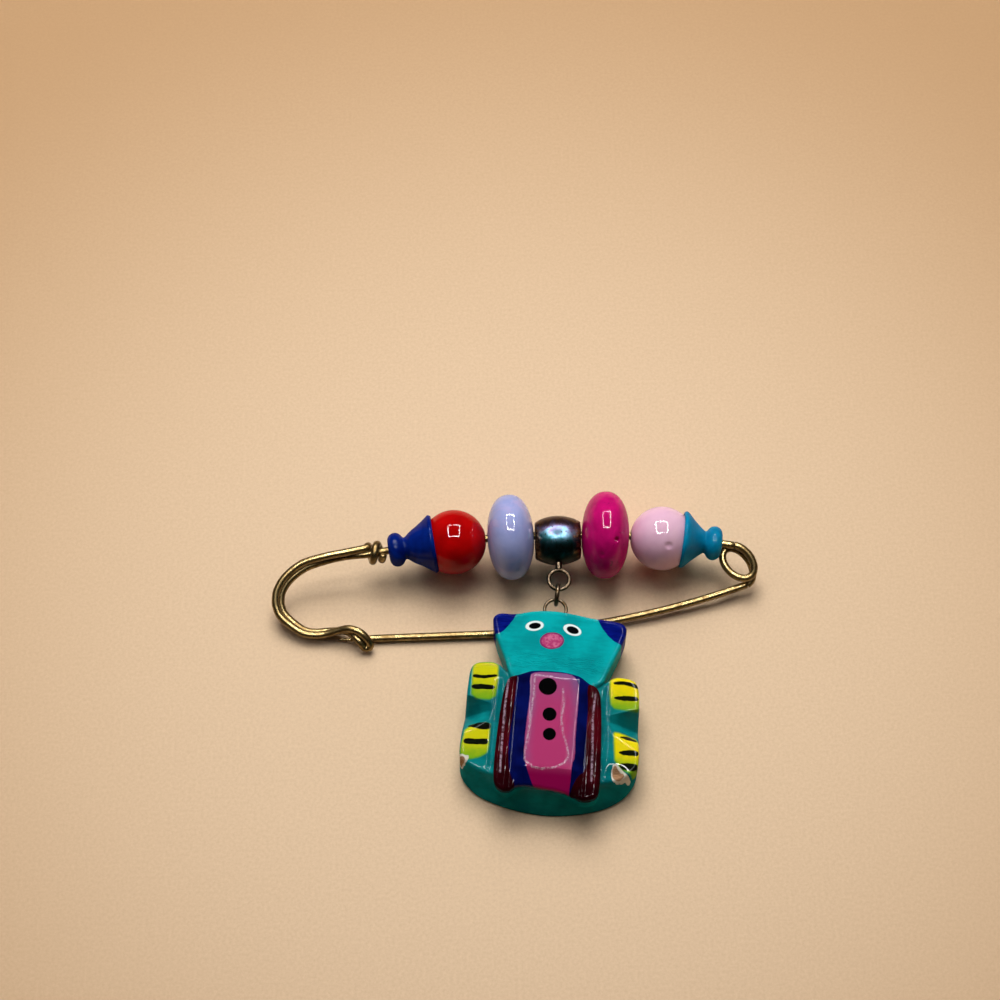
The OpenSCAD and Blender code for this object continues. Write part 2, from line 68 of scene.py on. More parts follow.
STRAND_R = (2 * WIRE_R + 0.04) / 2
WRAP_R = 2 * WIRE_R + 0.08
RED_SEAT = math.sqrt((RED_D / 2 + CUP_GAP) ** 2 - (BLUE_RIM / 2 - CAP_LIP) ** 2)
PINK_SEAT = math.sqrt((PINK_D / 2 + CUP_GAP) ** 2 - (TEAL_RIM / 2 - CAP_LIP) ** 2)
LAVENDER_X = -METAL_LEN / 2 - BEAD_GAP - LAVENDER_T / 2
RED_X = LAVENDER_X - LAVENDER_T / 2 - BEAD_GAP - RED_D / 2
MAGENTA_X = METAL_LEN / 2 + BEAD_GAP + MAGENTA_T / 2
PINK_X = MAGENTA_X + MAGENTA_T / 2 + BEAD_GAP + PINK_D / 2
BLUE_END = RED_X - RED_SEAT - BLUE_LEN
TEAL_END = PINK_X + PINK_SEAT + TEAL_LEN
WRAP_END = BLUE_END - WIRE_R - 0.15
WRAP_START = WRAP_END - WRAP_LEN
BAR_END = TEAL_END + BAR_TAIL


def bar_at(x):
    return np.array([x, -x * x / (2 * ARCH_R), 0.0])


def bar_turn(x):
    return -math.atan(x / ARCH_R)


def unit(v):
    return v / np.linalg.norm(v)


def smooth(keys, steps):
    """Catmull-Rom curve through the keys."""
    k = np.asarray(keys, float)
    out = []
    for i in range(len(k) - 1):
        a, b, c, d = k[max(i - 1, 0)], k[i], k[i + 1], k[min(i + 2, len(k) - 1)]
        for s in range(steps):
            t = s / steps
            out.append(0.5 * (2 * b + t * (c - a) + t * t * (2 * a - 5 * b + 4 * c - d)
                              + t ** 3 * (3 * b - 3 * c + d - a)))
    out.append(k[-1])
    return np.array(out)


def tangents(p):
    t = np.empty_like(p)
    t[1:-1] = p[2:] - p[:-2]
    t[0] = 4 * p[1] - 3 * p[0] - p[2]
    t[-1] = 3 * p[-1] - 4 * p[-2] + p[-3]
    return t / np.linalg.norm(t, axis=1)[:, None]


# The pin's wire, in the pin's own plane
BEND_X, BEND_Y = WRAP_START, bar_at(WRAP_START)[1]
CATCH_X, CATCH_Y = BEND_X + 0.35, BEND_Y - BEND_DROP - 0.45


def bend(reach, drop, up):
    return [BEND_X - BEND_REACH * reach, BEND_Y - BEND_DROP * drop, up]


def catch(x, y, up):
    return [CATCH_X + x, CATCH_Y + y, up]


MIDDLE = [
    bend(0.03, -0.029, 0.42), bend(0.218, -0.001, 0.38), bend(0.45, 0.05, 0.2), bend(0.67, 0.131, 0.02),
    bend(0.83, 0.27, 0), bend(0.912, 0.407, 0), bend(0.938, 0.521, 0), bend(0.93, 0.636, 0),
    bend(0.875, 0.757, 0), bend(0.7, 0.922, 0), bend(0.565, 0.962, 0.05), bend(0.435, 0.953, 0.15),
    catch(-4.4, 1.35, 0.75), catch(-2.85, 1.1, 1.5), catch(-1.75, 0.45, 1.8), catch(-1, -0.35, 1.65),
    catch(-0.6, -1, 1.25)]
OUTER = [
    [-0.1, 0.72, 0.68], [-0.08, 0.46, 0.88], [-0.12, 0.52, 0.84], [-0.32, 0.6, 0.74], [-0.54, 0.42, 0.73],
    [-0.62, 0.18, 0.76], [-0.63, -0.02, 0.78], [-0.58, -0.18, 0.79], [-0.48, -0.3, 0.82],
    [-0.15, -0.4, 0.9], [0, -0.38, 0.92], [0, -0.33, 0.94], [-0.25, 0.10, 0.93], [0.15, 0.55, 0.75],
    [0.65, 0.50, 0.40], [0.85, 0.45, 0.22], [0.92, 0.30, 0.18]]


def pin_line(steps=10):
    """The middle line of the frame's wire: bar, inner strand, fold, outer strand, wraps."""
    mid, out = smooth(MIDDLE, steps), smooth(OUTER, steps)
    t = tangents(mid)
    out = out - (out * t).sum(1)[:, None] * t
    out /= np.linalg.norm(out, axis=1)[:, None]
    bar = [bar_at(x) for x in np.linspace(BAR_END - 0.05, WRAP_START, 60)]
    fold = [mid[-1] + STRAND_R * (math.cos(a) * out[-1] + math.sin(a) * t[-1])
            for a in np.radians(np.arange(165, 10, -15))]
    wraps = []
    for s in np.linspace(0, 1, 100):
        a = math.radians(40 - 360 * WRAP_TURNS * s)
        wraps.append(bar_at(WRAP_START + (WRAP_END - WRAP_START) * s)
                     + WRAP_R * np.array([0, math.cos(a), math.sin(a)]))
    return np.vstack([bar[:-1], mid - STRAND_R * out, fold, (mid + STRAND_R * out)[::-1], wraps])


SLANT = math.radians(-50)
LONG_DIR = np.array([math.cos(SLANT), math.sin(SLANT), 0])
SHORT_DIR = np.array([math.sin(SLANT), -math.cos(SLANT), 0])


def oval(a):
    return COIL_LONG * math.cos(a) * LONG_DIR + COIL_SHORT * math.sin(a) * SHORT_DIR


def heading(h):
    return math.atan2(-(h @ LONG_DIR) / COIL_LONG, (h @ SHORT_DIR) / COIL_SHORT)


WAY_IN = bar_turn(BAR_END)
LEAVE = math.radians(19)
COIL_A0 = heading(np.array([math.cos(WAY_IN), math.sin(WAY_IN), 0]))
COIL_A1 = heading(np.array([-math.cos(LEAVE), -math.sin(LEAVE), 0])) + TAU
COIL_MID = bar_at(BAR_END) - oval(COIL_A0)


def coil_point(s):
    e = (1 - math.cos(math.pi * s)) / 2
    drift = np.array([-0.05 * e, -1.1 * s ** 2.5, -COIL_STEP * e])
    return COIL_MID + oval(COIL_A0 + (COIL_A1 - COIL_A0) * s) + drift


SLOPE = math.radians(1.1)
ARM_DIR = np.array([math.cos(SLOPE), math.sin(SLOPE), 0])
STRAIGHT_END = np.array([CATCH_X, CATCH_Y, 0]) + ARM_DIR * (STRAIGHT_LEN + POINT_START)


def arm_line():
    """Middle line and radius of the arm, from the coil to the point."""
    chord = coil_point(1) - STRAIGHT_END
    side = chord - (chord @ ARM_DIR) * ARM_DIR
    lat, along = np.linalg.norm(side), chord @ ARM_DIR
    r = (chord @ chord) / (2 * lat)
    turn = 2 * math.atan2(lat, along) - math.radians(0.03)
    p = side / lat
    pts = [STRAIGHT_END + ARM_DIR * r * math.sin(a) + p * r * (1 - math.cos(a))
           for a in np.linspace(turn, 0, 60)]
    rad = [WIRE_R] * 60
    for d in np.linspace(0, STRAIGHT_LEN, 30)[1:]:
        pts.append(STRAIGHT_END - ARM_DIR * d)
        rad.append(WIRE_R)
    # The point narrows slowly, then quickly to its tip
    for q in np.linspace(0, 1, 14)[1:]:
        pts.append(STRAIGHT_END - ARM_DIR * (STRAIGHT_LEN + POINT_LEN * q * 0.995))
        rad.append(WIRE_R * np.interp(q, [0, 0.5, 0.97, 1], [1, 0.72, 0.15, 0.1]))
    return np.array(pts), np.array(rad)


# How everything lies on the table
BAR_Z = (LAVENDER_D + MAGENTA_D) / 4 - bar_at(LAVENDER_X)[1] * 0.4
DIP = math.asin((BAR_Z - WIRE_R - ARM_LIFT) / -CATCH_Y)


def laid(p):
    p = np.atleast_2d(p)
    c, s = math.cos(DIP), math.sin(DIP)
    return np.stack([p[:, 0], p[:, 1] * c - p[:, 2] * s, BAR_Z + p[:, 1] * s + p[:, 2] * c], 1)


METAL_AT = laid(bar_at(0))[0] + np.array([0, -0.7, -0.45])
BAIL_DIP = math.radians(4)
BAIL_MEAN, EYE_MEAN = (BAIL_D - BAIL_WIRE) / 2, (EYE_D - EYE_WIRE) / 2
BAIL_REACH = METAL_D / 2 + BAIL_STEM + BAIL_D / 2
BAIL_DIR = np.array([0, -math.cos(BAIL_DIP), -math.sin(BAIL_DIP)])
BAIL_AT = METAL_AT + BAIL_REACH * BAIL_DIR
LINK_HOLD = LINK_D - 2 * LINK_WIRE - (BAIL_WIRE + EYE_WIRE) / 2 - 0.12
LINK_REACH = BAIL_MEAN + LINK_HOLD + EYE_MEAN

BODY_OUTLINE = [
    [1.2, -0.95], [5.4, -0.45], [9.3, 0.75], [12.2, 2.7], [13.7, 5.2], [13.9, 8.0], [13.6, 11.8],
    [13.4, 15.4], [13.1, 19.0], [12.2, 20.3], [9.3, 20.5], [7.0, 18.4], [0.3, 18.2], [-6.4, 19.0],
    [-8.9, 21.3], [-11.9, 21.1], [-12.9, 20.0], [-13.0, 15.4], [-13.1, 11.2], [-13.3, 6.6], [-12.9, 3.7],
    [-10.3, 1.2], [-6.2, -0.2], [-2.4, -0.85]]
HEAD_OUTLINE = [
    [7.1, 17.6], [8.6, 21.6], [10.1, 25.6], [10.7, 28.0], [10.0, 29.0], [8.0, 29.3], [5.6, 29.3],
    [2.4, 29.8], [-0.9, 30.1], [-4.0, 29.8], [-6.8, 29.0], [-9.2, 29.1], [-10.2, 28.3], [-9.9, 26.6],
    [-9.2, 24.6], [-7.7, 21.4], [-6.2, 17.6]]
EYE_U, EYE_V, EYE_W = -0.72, 30 + EYE_D / 2 - 0.5, HEAD_T / 2
LEAN, TURN = math.radians(BEAR_LEAN), math.radians(BEAR_TURN)


def inset(p, d):
    p = np.asarray(p, float)
    a = p - np.roll(p, 1, 0)
    b = np.roll(p, -1, 0) - p
    a /= np.linalg.norm(a, axis=1)[:, None]
    b /= np.linalg.norm(b, axis=1)[:, None]
    na, nb = np.stack([-a[:, 1], a[:, 0]], 1), np.stack([-b[:, 1], b[:, 0]], 1)
    m = na + nb
    m /= np.linalg.norm(m, axis=1)[:, None]
    return p + m * d / (m * nb).sum(1)[:, None]


BEAR_Z = -inset(BODY_OUTLINE, EDGE_R)[:, 1].min() * math.sin(LEAN)
EYE_Z = BEAR_Z + EYE_V * math.sin(LEAN) + EYE_W * math.cos(LEAN)
LINK_DX, LINK_DZ = -0.72, EYE_Z - BAIL_AT[2]
LINK_DY = -math.sqrt(LINK_REACH ** 2 - LINK_DX ** 2 - LINK_DZ ** 2)
EYE_AT = np.array([BAIL_AT[0] + LINK_DX, BAIL_AT[1] + LINK_DY, EYE_Z])
LINK_DIR = unit(EYE_AT - BAIL_AT)
LINK_AT = BAIL_AT + (BAIL_MEAN + LINK_HOLD / 2) * LINK_DIR
FLAT_V = EYE_V * math.cos(LEAN) - EYE_W * math.sin(LEAN)


def on_bear(p):
    """Bear coordinates (across, along, up) to the table."""
    p = np.atleast_2d(p)
    f = p[:, 1] * math.cos(LEAN) - p[:, 2] * math.sin(LEAN) - FLAT_V
    s = p[:, 0] - EYE_U
    return np.stack([EYE_AT[0] + s * math.cos(TURN) + f * math.sin(TURN),
                     EYE_AT[1] - s * math.sin(TURN) + f * math.cos(TURN),
                     BEAR_Z + p[:, 1] * math.sin(LEAN) + p[:, 2] * math.cos(LEAN)], 1)


frame_pts, coil_pts = laid(pin_line(4)), laid([coil_point(s) for s in np.linspace(0, 1, 45)])
body_pts = on_bear([[a, b, EDGE_R] for a, b in BODY_OUTLINE])
CENTRE = np.array([
    -(frame_pts[:, 0].min() + coil_pts[:, 0].max()) / 2,
    -(body_pts[:, 1].min() + laid(bar_at(MAGENTA_X))[0][1] + MAGENTA_D / 2) / 2, 0])


def mesh(name, verts, faces, body, node, slot, material, attributes=None):
    """A closed piece from points in mm; it rides its body and stands for its node."""
    me = bpy.data.meshes.new(name)
    me.from_pydata((np.asarray(verts) * MM).tolist(), [], [list(map(int, f)) for f in faces])
    me.validate()
    me.update()
    for key, values in (attributes or {}).items():
        values = np.asarray(values, np.float32)
        kind = "FLOAT" if values.ndim == 1 else "FLOAT_VECTOR"
        a = me.attributes.new(key, kind, "POINT")
        a.data.foreach_set("value" if values.ndim == 1 else "vector", values.ravel())
    me.polygons.foreach_set("use_smooth", [True] * len(me.polygons))
    me.materials.append(material)
    o = bpy.data.objects.new(name, me)
    bpy.context.scene.collection.objects.link(o)
    if body:
        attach(o, body)
    if node:
        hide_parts(node)
    return o


def grid_faces(rows, cols):
    """The faces of a grid of points that closes on itself both ways."""
    r, c = np.arange(rows), np.arange(cols)
    R, C = np.meshgrid(r, c, indexing="ij")
    a = R * cols + C
    b = R * cols + (C + 1) % cols
    d = ((R + 1) % rows) * cols + C
    e = ((R + 1) % rows) * cols + (C + 1) % cols
    return np.stack([a, b, e, d], -1).reshape(-1, 4)


def waviness(points, seed, size, amount):
    """A few fixed waves that make a turned or hand-wound shape slightly uneven."""
    rng = np.random.default_rng(seed)
    out = np.zeros(len(points))
    for _ in range(7):
        d = rng.normal(size=3)
        d /= np.linalg.norm(d) * size * rng.uniform(0.7, 1.6)
        out += np.sin(points @ d * TAU + rng.uniform(0, TAU))
    return out * amount / 7


def turned(profile, x, seed, stands=0.0, segs=96, mirrored=False, pits=()):
    """A bead turned from a closed profile of (radius, along), on the bar at x or standing on the table.

    Each pit is its place from the bead's middle, its radius and its depth, pressed in towards the middle."""
    pr = np.asarray(profile, float)
    a = np.arange(segs) * TAU / segs
    r, z = pr[:, 0][:, None], pr[:, 1][:, None]
    local = np.stack([np.broadcast_to(z, (len(pr), segs)), r * np.sin(a), -r * np.cos(a)], -1)
    local = local.reshape(-1, 3)
    sway = waviness(local, seed, 6.0, 0.02)
    grow = 1 + sway / np.maximum(np.linalg.norm(local[:, 1:], axis=1), 1.2)
    local[:, 1:] *= grow[:, None]
    if mirrored:
        local[:, 0] *= -1
    c, s = math.cos(bar_turn(x)), math.sin(bar_turn(x))
    x_now, y_now = local[:, 0] * c - local[:, 1] * s, local[:, 0] * s + local[:, 1] * c
    p = np.stack([x_now, y_now, local[:, 2]], 1) + bar_at(x)
    faces = grid_faces(len(pr), segs)
    if mirrored:
        faces = faces[:, ::-1]
    for spot, radius, depth in pits:
        away = np.linalg.norm(p - bar_at(x) - spot, axis=1) / radius
        inward = -unit(np.asarray(spot, float))
        p = p + inward * (depth * np.clip(1 - away ** 2, 0, 1) ** 0.8)[:, None]
    lift = stands / 2 + 0.01 - laid(bar_at(x))[0][2] if stands else -0.7 * BORE_GAP
    return laid(p) + CENTRE + np.array([0, 0, lift]), faces


BORE_R = WIRE_R + BORE_GAP


def bore_of(ring):
    """The hole's wall, from the last point of the outside back to its first."""
    return [(BORE_R * 0.96, ring[-1][1] - 0.25), (BORE_R * 0.95, 0), (BORE_R * 0.96, ring[0][1] + 0.25)]


def ball_profile(d):
    a0 = math.asin(BORE_R / (d / 2))
    ring = [(d / 2 * math.sin(a), -d / 2 * math.cos(a)) for a in np.linspace(a0, math.pi - a0, 60)]
    return ring + bore_of(ring)


def rondelle_profile(d, t):
    power = 2 / FULL
    rim = d / 2
    reach = math.acos((BORE_R / rim) ** (1 / power))
    ring = []
    for a in np.linspace(-reach, reach, 70):
        ring.append((rim * math.cos(a) ** power, math.copysign(t / 2 * abs(math.sin(a)) ** power, a)))
    return ring + bore_of(ring)


def cap_profile(length, rim, ball_r, seat):
    kr, kh, nr = KNOB_D / 2, 1.22, NECK_D / 2
    cup = ball_r + CUP_GAP
    deep, wide = math.asin(BORE_R / cup), math.acos(seat / cup)
    knob = [(kr - kh + kh * math.cos(a), kh + 0.05 + kh * math.sin(a))
            for a in np.radians(np.arange(-80, 61, 10))]
    flare = smooth([knob[-1], (nr + 0.02, 2.62), (nr + 0.12, 2.98), (nr + 0.75, 3.75),
                    ((nr + 0.75 + rim / 2 - 0.35) / 2 - 0.06, (3.75 + length - 0.95) / 2),
                    (rim / 2 - 0.35, length - 0.95)], 6)[1:]
    lip = smooth([(rim / 2 - 0.35, length - 0.95), (rim / 2 - 0.02, length - 0.52),
                  (rim / 2 - 0.05, length - 0.22),
                  (rim / 2 - 0.2, length - 0.02)], 4)[1:]
    cupped = [(cup * math.sin(a), length + seat - cup * math.cos(a))
              for a in np.linspace(wide, deep, 16)]
    return [(BORE_R, 0.25)] + knob + [tuple(q) for q in flare] + [tuple(q) for q in lip] + cupped


def linear(hexa):
    c = [int(hexa[i:i + 2], 16) / 255 for i in (1, 3, 5)]
    return [x / 12.92 if x <= 0.04045 else ((x + 0.055) / 1.055) ** 2.4 for x in c] + [1.0]


# Words for the nodes used here: the node, its inputs in the order given, its output, its settings
KINDS = {
    "noise": ("ShaderNodeTexNoise", ("Vector", "Scale", "Detail", "Roughness", "Distortion"), 0, {}),
    "spread": ("ShaderNodeMapRange", (0, 1, 2, 3, 4), 0, {}),
    "ease": ("ShaderNodeMapRange", (0, 1, 2, 3, 4), 0, {"interpolation_type": "SMOOTHSTEP"}),
    "mix": ("ShaderNodeMix", (0, 6, 7), 2, {"data_type": "RGBA"}),
    "plus": ("ShaderNodeMath", (0, 1), 0, {"operation": "ADD"}),
    "minus": ("ShaderNodeMath", (0, 1), 0, {"operation": "SUBTRACT"}),
    "times": ("ShaderNodeMath", (0, 1), 0, {"operation": "MULTIPLY"}),
    "rest": ("ShaderNodeMath", (0, 1), 0, {"operation": "MODULO"}),
    "larger": ("ShaderNodeMath", (0, 1), 0, {"operation": "MAXIMUM"}),
    "field": ("ShaderNodeAttribute", (), "Fac", {}),
    "point": ("ShaderNodeAttribute", (), "Vector", {}),
    "bump": ("ShaderNodeBump", ("Height", "Distance", "Strength", "Normal"), "Normal", {}),
}


def add(tree, word, *given, named=None, out=None, **settings):
    """Adds a node with its settings and, per input, a value or a link, and gives back its output."""
    kind, names, usual, fixed = KINDS.get(word, (word, (), 0, {}))
    node = tree.nodes.new(kind)
    for key, value in {**fixed, **settings}.items():
        setattr(node, key, value)
    for key, value in {**dict(zip(names, given)), **(named or {})}.items():
        if isinstance(value, bpy.types.NodeSocket):
            tree.links.new(value, node.inputs[key])
        else:
            node.inputs[key].default_value = value
    return node.outputs[usual if out is None else out] if len(node.outputs) else node


def per_mm(mm):
    """The scale of a noise whose features are about that many mm across."""
    return 1 / (mm * MM)


def material(name):
    m = bpy.data.materials.new(name)
    m.use_nodes = True
    t = m.node_tree
    t.nodes.clear()
    out = t.nodes.new("ShaderNodeOutputMaterial")
    place = add(t, "ShaderNodeTexCoord", out="Object")
    return m, t, out, place


def two(t, a, b, value, lo, hi):
    """From colour a to colour b as the value goes from lo to hi."""
    return add(t, "mix", add(t, "ease", value, lo, hi, 0, 1), linear(a), linear(b))


def lacquered(name, light, dark, streak_mm, blotch=None, coat=0.55):
    """Gloss lacquer over painted turned wood: the colour is a little uneven and the shine ragged."""
    m, t, out, place = material(name)
    cloud = add(t, "noise", place, per_mm(streak_mm), 4, 0.55, 0.4)
    col = add(t, "mix", add(t, "spread", cloud, 0.32, 0.68), linear(dark), linear(light))
    if blotch:
        colour, mm, lo, hi = blotch
        patch = add(t, "ease", add(t, "noise", place, per_mm(mm), 5, 0.6, 0.8), lo, hi, 0, 0.75)
        col = add(t, "mix", patch, col, linear(colour))
    height = add(t, "plus", add(t, "noise", place, per_mm(0.55), 4, 0.6),
                 add(t, "times", add(t, "noise", place, per_mm(2.2), 2, 0.5), 1.6))
    under = add(t, "bump", add(t, "noise", place, per_mm(1.1), 4, 0.65), 0.02 * MM, 0.35)
    shine = add(t, "bump", height, 0.005 * MM, 0.4)
    shader = add(t, "ShaderNodeBsdfPrincipled", named={
        "Base Color": col, "Roughness": 0.45, "IOR": 1.4, "Specular IOR Level": 0.0, "Coat Weight": coat,
        "Coat Roughness": 0.012, "Coat IOR": 1.4, "Normal": under, "Coat Normal": shine})
    t.links.new(shader, out.inputs[0])
    return m


def wire_tree():
    """A round wire along a line of points; each point has its own share of the wire's radius."""
    t = bpy.data.node_groups.new("wire_along_line", "GeometryNodeTree")
    for name, kind in (("Line", "Geometry"), ("Wire radius", "Float"), ("Sides", "Int"),
                       ("Metal", "Material")):
        t.interface.new_socket(name, in_out="INPUT", socket_type="NodeSocket" + kind)
    t.interface.new_socket("Wire", in_out="OUTPUT", socket_type="NodeSocketGeometry")
    asked = t.nodes.new("NodeGroupInput").outputs
    share = add(t, "GeometryNodeInputNamedAttribute", named={"Name": "share"}, data_type="FLOAT")
    line = add(t, "GeometryNodeMeshToCurve", named={"Mesh": asked["Line"]})
    ring = add(t, "GeometryNodeCurvePrimitiveCircle",
               named={"Resolution": asked["Sides"], "Radius": asked["Wire radius"]})
    wire = add(t, "GeometryNodeCurveToMesh",
               named={"Curve": line, "Profile Curve": ring, "Scale": share, "Fill Caps": True})
    wire = add(t, "GeometryNodeRealizeInstances", named={"Geometry": wire})
    wire = add(t, "GeometryNodeSetMaterial", named={"Geometry": wire, "Material": asked["Metal"]})
    t.links.new(wire, t.nodes.new("NodeGroupOutput").inputs["Wire"])
    return t


WIRE_TREE = wire_tree()


def drawn(points, radius, metal, shares=None, sides=24, closed=False):
    """Points and faces of a wire that the tree draws along a line."""
    n = len(points)
    me = bpy.data.meshes.new("line")
    ends = np.arange(n if closed else n - 1)
    me.from_pydata(np.asarray(points).tolist(), np.stack([ends, (ends + 1) % n], 1).tolist(), [])
    share = me.attributes.new("share", "FLOAT", "POINT")
    share.data.foreach_set("value", np.ones(n) if shares is None else np.asarray(shares))
    o = bpy.data.objects.new("line", me)
    bpy.context.scene.collection.objects.link(o)
    tool = o.modifiers.new("wire", "NODES")
    tool.node_group = WIRE_TREE
    sizes = {"Wire radius": float(radius), "Sides": sides, "Metal": metal}
    for socket in WIRE_TREE.interface.items_tree:
        if socket.name in sizes:
            tool[socket.identifier] = sizes[socket.name]
    done = bpy.data.meshes.new_from_object(o.evaluated_get(bpy.context.evaluated_depsgraph_get()))
    verts = np.array([v.co[:] for v in done.vertices])
    faces = [list(f.vertices) for f in done.polygons]
    bpy.data.objects.remove(o)
    for used in (me, done):
        bpy.data.meshes.remove(used)
    return verts, faces


# How far from a cut end, and how thick there, the wire is: each in shares of its radius
END_AT, END_SHARE = np.array([0, 0.1, 0.25]), np.array([0.75, 0.93, 1.0])


def tube(points, radii, metal, sides=24, round_ends=(True, True)):
    """A round wire along the points with closed, slightly rounded ends."""
    p = np.asarray(points, float)
    r = np.broadcast_to(np.asarray(radii, float), (len(p),)).copy()
    t = tangents(p)
    head, tail = p[:1], p[-1:]
    head_r, tail_r = r[:1], r[-1:]
    if round_ends[0]:
        head, head_r = p[0] + t[0] * (END_AT * r[0])[:, None], END_SHARE * r[0]
    if round_ends[1]:
        tail, tail_r = p[-1] - t[-1] * (END_AT * r[-1])[::-1, None], END_SHARE[::-1] * r[-1]
    # Points of the line that stand within a rounded end would fold the wire back, so they go
    between = np.arange(1, len(p) - 1)
    for end, is_round in zip((0, -1), round_ends):
        if is_round:
            between = between[np.linalg.norm(p[between] - p[end], axis=1) > 0.4 * r[end]]
    r = np.concatenate([head_r, r[between], tail_r])
    return drawn(np.vstack([head, p[between], tail]), r.max(), metal, r / r.max(), sides)


def loop(centre, x_dir, y_dir, mean, wire_r, metal, segs=72, sides=20):
    """A closed wire ring in the plane of two directions."""
    a = np.arange(segs)[:, None] * TAU / segs
    return drawn(centre + mean * (np.cos(a) * x_dir + np.sin(a) * y_dir), wire_r, metal, sides=sides,
                 closed=True)


# Antique brass wire: straw yellow where it is rubbed bright, with brown stains and small dark specks
def brass_wire():
    m, t, out, place = material("antique_brass")
    stain = add(t, "ease", add(t, "noise", place, per_mm(1.6), 5, 0.62, 0.6), 0.40, 0.70, 0, 1)
    speck = add(t, "ease", add(t, "noise", place, per_mm(0.35), 3, 0.6), 0.55, 0.72, 0, 0.6)
    col = add(t, "mix", stain, linear("#8E7A52"), linear("#5E4A2C"))
    col = add(t, "mix", speck, col, linear("#45341A"))
    rough = add(t, "spread", add(t, "plus", stain, speck), 0, 1.4, 0.27, 0.42)
    shader = add(t, "ShaderNodeBsdfPrincipled", named={
        "Base Color": col, "Metallic": 1.0, "Roughness": rough,
        "Normal": add(t, "bump", add(t, "noise", place, per_mm(0.5), 3, 0.5), 0.008 * MM, 0.4)})
    t.links.new(shader, out.inputs[0])
    return m


# Dark iridescent plated metal with painted light, coloured in bands by which way it faces: violet above, a
# painted blue-green highlight at the middle, a painted green reflection and painted shade towards the near
# underside; brown rims, a silvery brown ring
def tarnished_metal():
    m, t, out, place = material("iridescent_gunmetal")
    shift = add(t, "minus", add(t, "noise", place, per_mm(1.5), 4, 0.6, 0.6), 0.5)
    turn = add(t, "plus", add(t, "field", attribute_name="height"), add(t, "times", shift, 0.8))
    # From the near underside to the far top: painted shade, a painted green reflection, a painted blue-green
    # highlight, then violet and brown iridescence
    iridescence_and_light = add(t, "ShaderNodeValToRGB", named={"Fac": turn})
    ramp = iridescence_and_light.node.color_ramp
    ramp.elements[0].position, ramp.elements[0].color = 0.0, linear("#1D1A16")
    ramp.elements[1].position, ramp.elements[1].color = 1.0, linear("#5A4436")
    for pos, c in ((0.22, "#20302A"), (0.42, "#20484E"), (0.58, "#4A6474"), (0.70, "#544A66"),
                   (0.85, "#48343A")):
        ramp.elements.new(pos).color = linear(c)
    rim = add(t, "ease", add(t, "plus", add(t, "field", attribute_name="rim"), shift), 0.62, 0.98, 0, 1)
    col = add(t, "mix", rim, iridescence_and_light, two(t, "#33241A", "#7A5838", add(t, "noise", place, per_mm(0.7), 4, 0.6),
                                      0.35, 0.65))
    ring = two(t, "#574B3C", "#33281C", add(t, "noise", place, per_mm(0.8), 4, 0.6), 0.4, 0.65)
    col = add(t, "mix", add(t, "field", attribute_name="ring"), col, ring)
    pit = add(t, "ease", add(t, "noise", place, per_mm(0.45), 3, 0.6), 0.58, 0.7, 0, 0.8)
    col = add(t, "mix", pit, col, linear("#241F1E"))
    shader = add(t, "ShaderNodeBsdfPrincipled", named={
        "Base Color": col, "Metallic": 1.0, "Roughness": add(t, "spread", pit, 0, 1, 0.30, 0.44),
        "Normal": add(t, "bump", add(t, "noise", place, per_mm(0.8), 4, 0.55), 0.03 * MM, 0.5)})
    t.links.new(shader, out.inputs[0])
    return m


# Worn nickel-plated ring wire: grey with brown showing through
def plated_wire():
    m, t, out, place = material("worn_nickel")
    wear = add(t, "ease", add(t, "noise", place, per_mm(0.8), 4, 0.6, 0.5), 0.42, 0.66, 0, 1)
    col = add(t, "mix", wear, linear("#574B3C"), linear("#3C2C19"))
    shader = add(t, "ShaderNodeBsdfPrincipled", named={
        "Base Color": col, "Metallic": 1.0, "Roughness": add(t, "spread", wear, 0, 1, 0.28, 0.45),
        "Normal": add(t, "bump", add(t, "noise", place, per_mm(0.4), 3, 0.5), 0.006 * MM, 0.4)})
    t.links.new(shader, out.inputs[0])
    return m


def chaikin(p, times=2, cut=0.22):
    p = np.asarray(p, float)
    for _ in range(times):
        q = np.roll(p, -1, 0)
        p = np.stack([p * (1 - cut) + q * cut, p * cut + q * (1 - cut)], 1).reshape(-1, 2)
    return p


def flat_distance(pts, outline):
    """Signed distance of flat points to a closed outline, negative inside."""
    p = np.asarray(outline, float)
    q = np.roll(p, -1, 0)
    best = np.full(len(pts), 1e9)
    inside = np.zeros(len(pts), bool)
    for a, b in zip(p, q):
        ab = b - a
        ap = pts - a
        h = np.clip((ap @ ab) / max(ab @ ab, 1e-12), 0, 1)
        best = np.minimum(best, ((ap - h[:, None] * ab) ** 2).sum(1))
        hit = ((a[1] > pts[:, 1]) != (b[1] > pts[:, 1]))
        with np.errstate(divide="ignore", invalid="ignore"):
            cross = pts[:, 0] < (b[0] - a[0]) * (pts[:, 1] - a[1]) / (b[1] - a[1]) + a[0]
        inside ^= hit & cross
    return np.sqrt(best) * np.where(inside, -1, 1)


def soft_max(a, b, k):
    h = np.clip(0.5 + 0.5 * (a - b) / k, 0, 1)
    return b * (1 - h) + a * h + k * h * (1 - h)


def soft_min(a, b, k):
    return -soft_max(-a, -b, k)


def step(x, a, b):
    t = np.clip((x - a) / (b - a), 0, 1)
    return t * t * (3 - 2 * t)


BODY = chaikin(BODY_OUTLINE)
HEAD = chaikin(HEAD_OUTLINE)
BLOCK = chaikin([
    [-7.75, 2.6], [-7.3, 1.3], [-6.3, 0.65], [-5.2, 0.7], [-4.3, 1.45], [-3.2, 1.75], [-1.2, 1.6],
    [1.6, 1.4], [3.5, 1.1], [4.4, 0.75], [5.6, 0.2], [6.9, 0.35], [8.1, 1.0], [8.3, 2.6], [8.05, 8.5],
    [7.75, 13.0], [7.35, 16.9], [6.6, 18.1], [5.3, 18.6], [3.9, 19.4], [1.3, 19.85], [-2.4, 19.75],
    [-4.1, 19.5], [-5.4, 19.1], [-6.8, 18.5], [-7.4, 16.5], [-7.7, 12.1], [-7.85, 7.0]])


